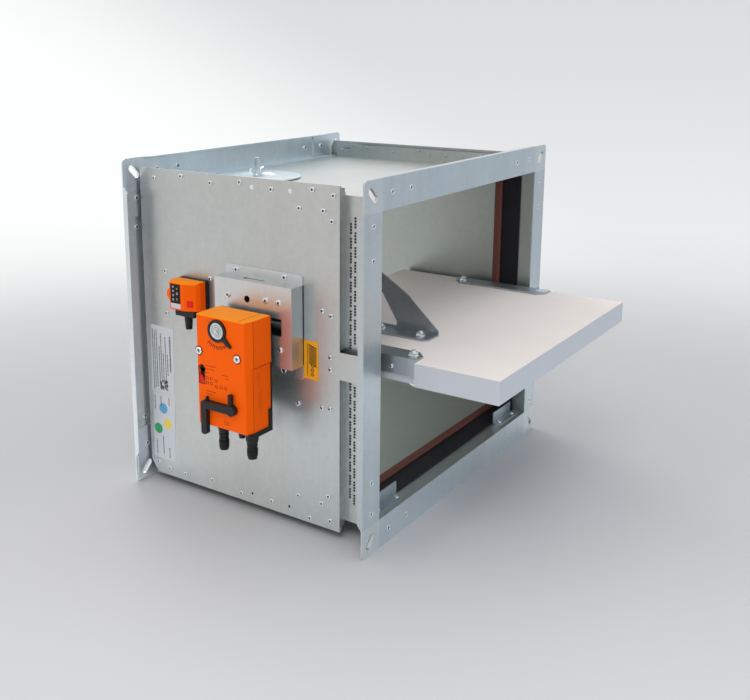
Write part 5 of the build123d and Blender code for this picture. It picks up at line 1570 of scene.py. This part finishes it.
def limit_print():
    hatch = bmesh.new()
    low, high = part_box("limit_label")
    face = low[0]
    line_low = (high[1] - LINE_FROM, low[2] + LINE_MARGIN)
    add_plate(hatch, face, line_low, (high[1] - LINE_TO, high[2] - LINE_MARGIN))
    left, right = low[1] + HATCH_MARGINS[0], high[1] - HATCH_MARGINS[1]
    for row in range(HATCH_ROWS):
        z = high[2] - (HATCH_TOP + HATCH_PITCH * row) * MM
        slant = [(left, z + rise) for rise in HATCH_LOW]
        slant += [(right, z + rise) for rise in HATCH_HIGH]
        add_raised(hatch, slant, PRINT_T, drawn_on((face, 0, 0)))
    ring_y = (low[1] + high[1]) / 2 - RING_SHIFT
    for step in range(WALL_RINGS):
        ring_z = low[2] + (RING_FOOT + RING_PITCH * step) * MM
        add_turned(hatch, WALL_RING, facing(LEFT, (face, ring_y, ring_z)))
    finish_piece(hatch, "limit_hatch", "black_print_and_shade")


limit_print()
print("hatch rows", HATCH_ROWS, "rings", WALL_RINGS)

# %% [markdown]
# The thermal sensor has a dark inset with a few pale generic marks on its face, and a pale strip
# under it. A picture on the cover would do for this view alone; thin plates and rings keep their
# edges in a close view too.

# %% Sensor face
SENSOR_INSET = in_mm(((296, 49), (314, 76)))
INSET_T = 0.25 * MM
SENSOR_STRIP = in_mm(((296, 42), (314, 48.8)))
STRIP_T = 0.2 * MM
SENSOR_RINGS = (
    (309, 72, 3.0), (309, 66, 3.0), (309, 60, 3.0), (309, 54, 3.0), (302, 70, 2.2),
    (302, 63, 3.4), (302, 55, 2.2),
)
RING_BORE = 0.6


def sensor_face():
    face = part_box("sensor_cover")[0][0]
    dark, pale = bmesh.new(), bmesh.new()
    add_plate(dark, face, *SENSOR_INSET, INSET_T)
    finish_piece(dark, "sensor_inset", "black_print_and_shade")
    for y, z, size in SENSOR_RINGS:
        place = facing(LEFT, (face - INSET_T, y * MM, z * MM))
        outer = size / 2 * MM
        add_turned(pale, ring(outer * RING_BORE, outer, 0, PRINT_T), place, SMALL_STEPS)
    add_plate(pale, face, *SENSOR_STRIP, STRIP_T)
    finish_piece(pale, "sensor_strip", "pale_print")


sensor_face()
print("sensor marks", len(SENSOR_RINGS))

# %% [markdown]
# Two filled dimples and two open holes sit among the panel's screws. A dimple is a low bright dome,
# a hole a dark disc of painted shade: the sheet behind it is out of sight, so nothing has to be
# cut.

# %% Panel dimples
DIMPLES = ((189, 215), (127, 215))
DIMPLE = in_mm(((3.0, 0), (2.6, 0.25), (0, 0.3)))
HOLES = ((198, -213), (134, -214))
HOLE_SHADE = [(1.8 * MM, 0), (1.8 * MM, PRINT_T), (0, PRINT_T)]


def panel_marks(places, profile, name, label):
    shape = bmesh.new()
    panel_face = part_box("left_side_panel")[0][0]
    for y, z in places:
        add_turned(shape, profile, facing(LEFT, (panel_face, y * MM, z * MM)))
    finish_piece(shape, name, label)


panel_marks(DIMPLES, DIMPLE, "panel_dimples", "bright_zinc")
panel_marks(HOLES, HOLE_SHADE, "panel_hole_shade", "black_print_and_shade")
print("dimples", len(DIMPLES), "holes", len(HOLES))
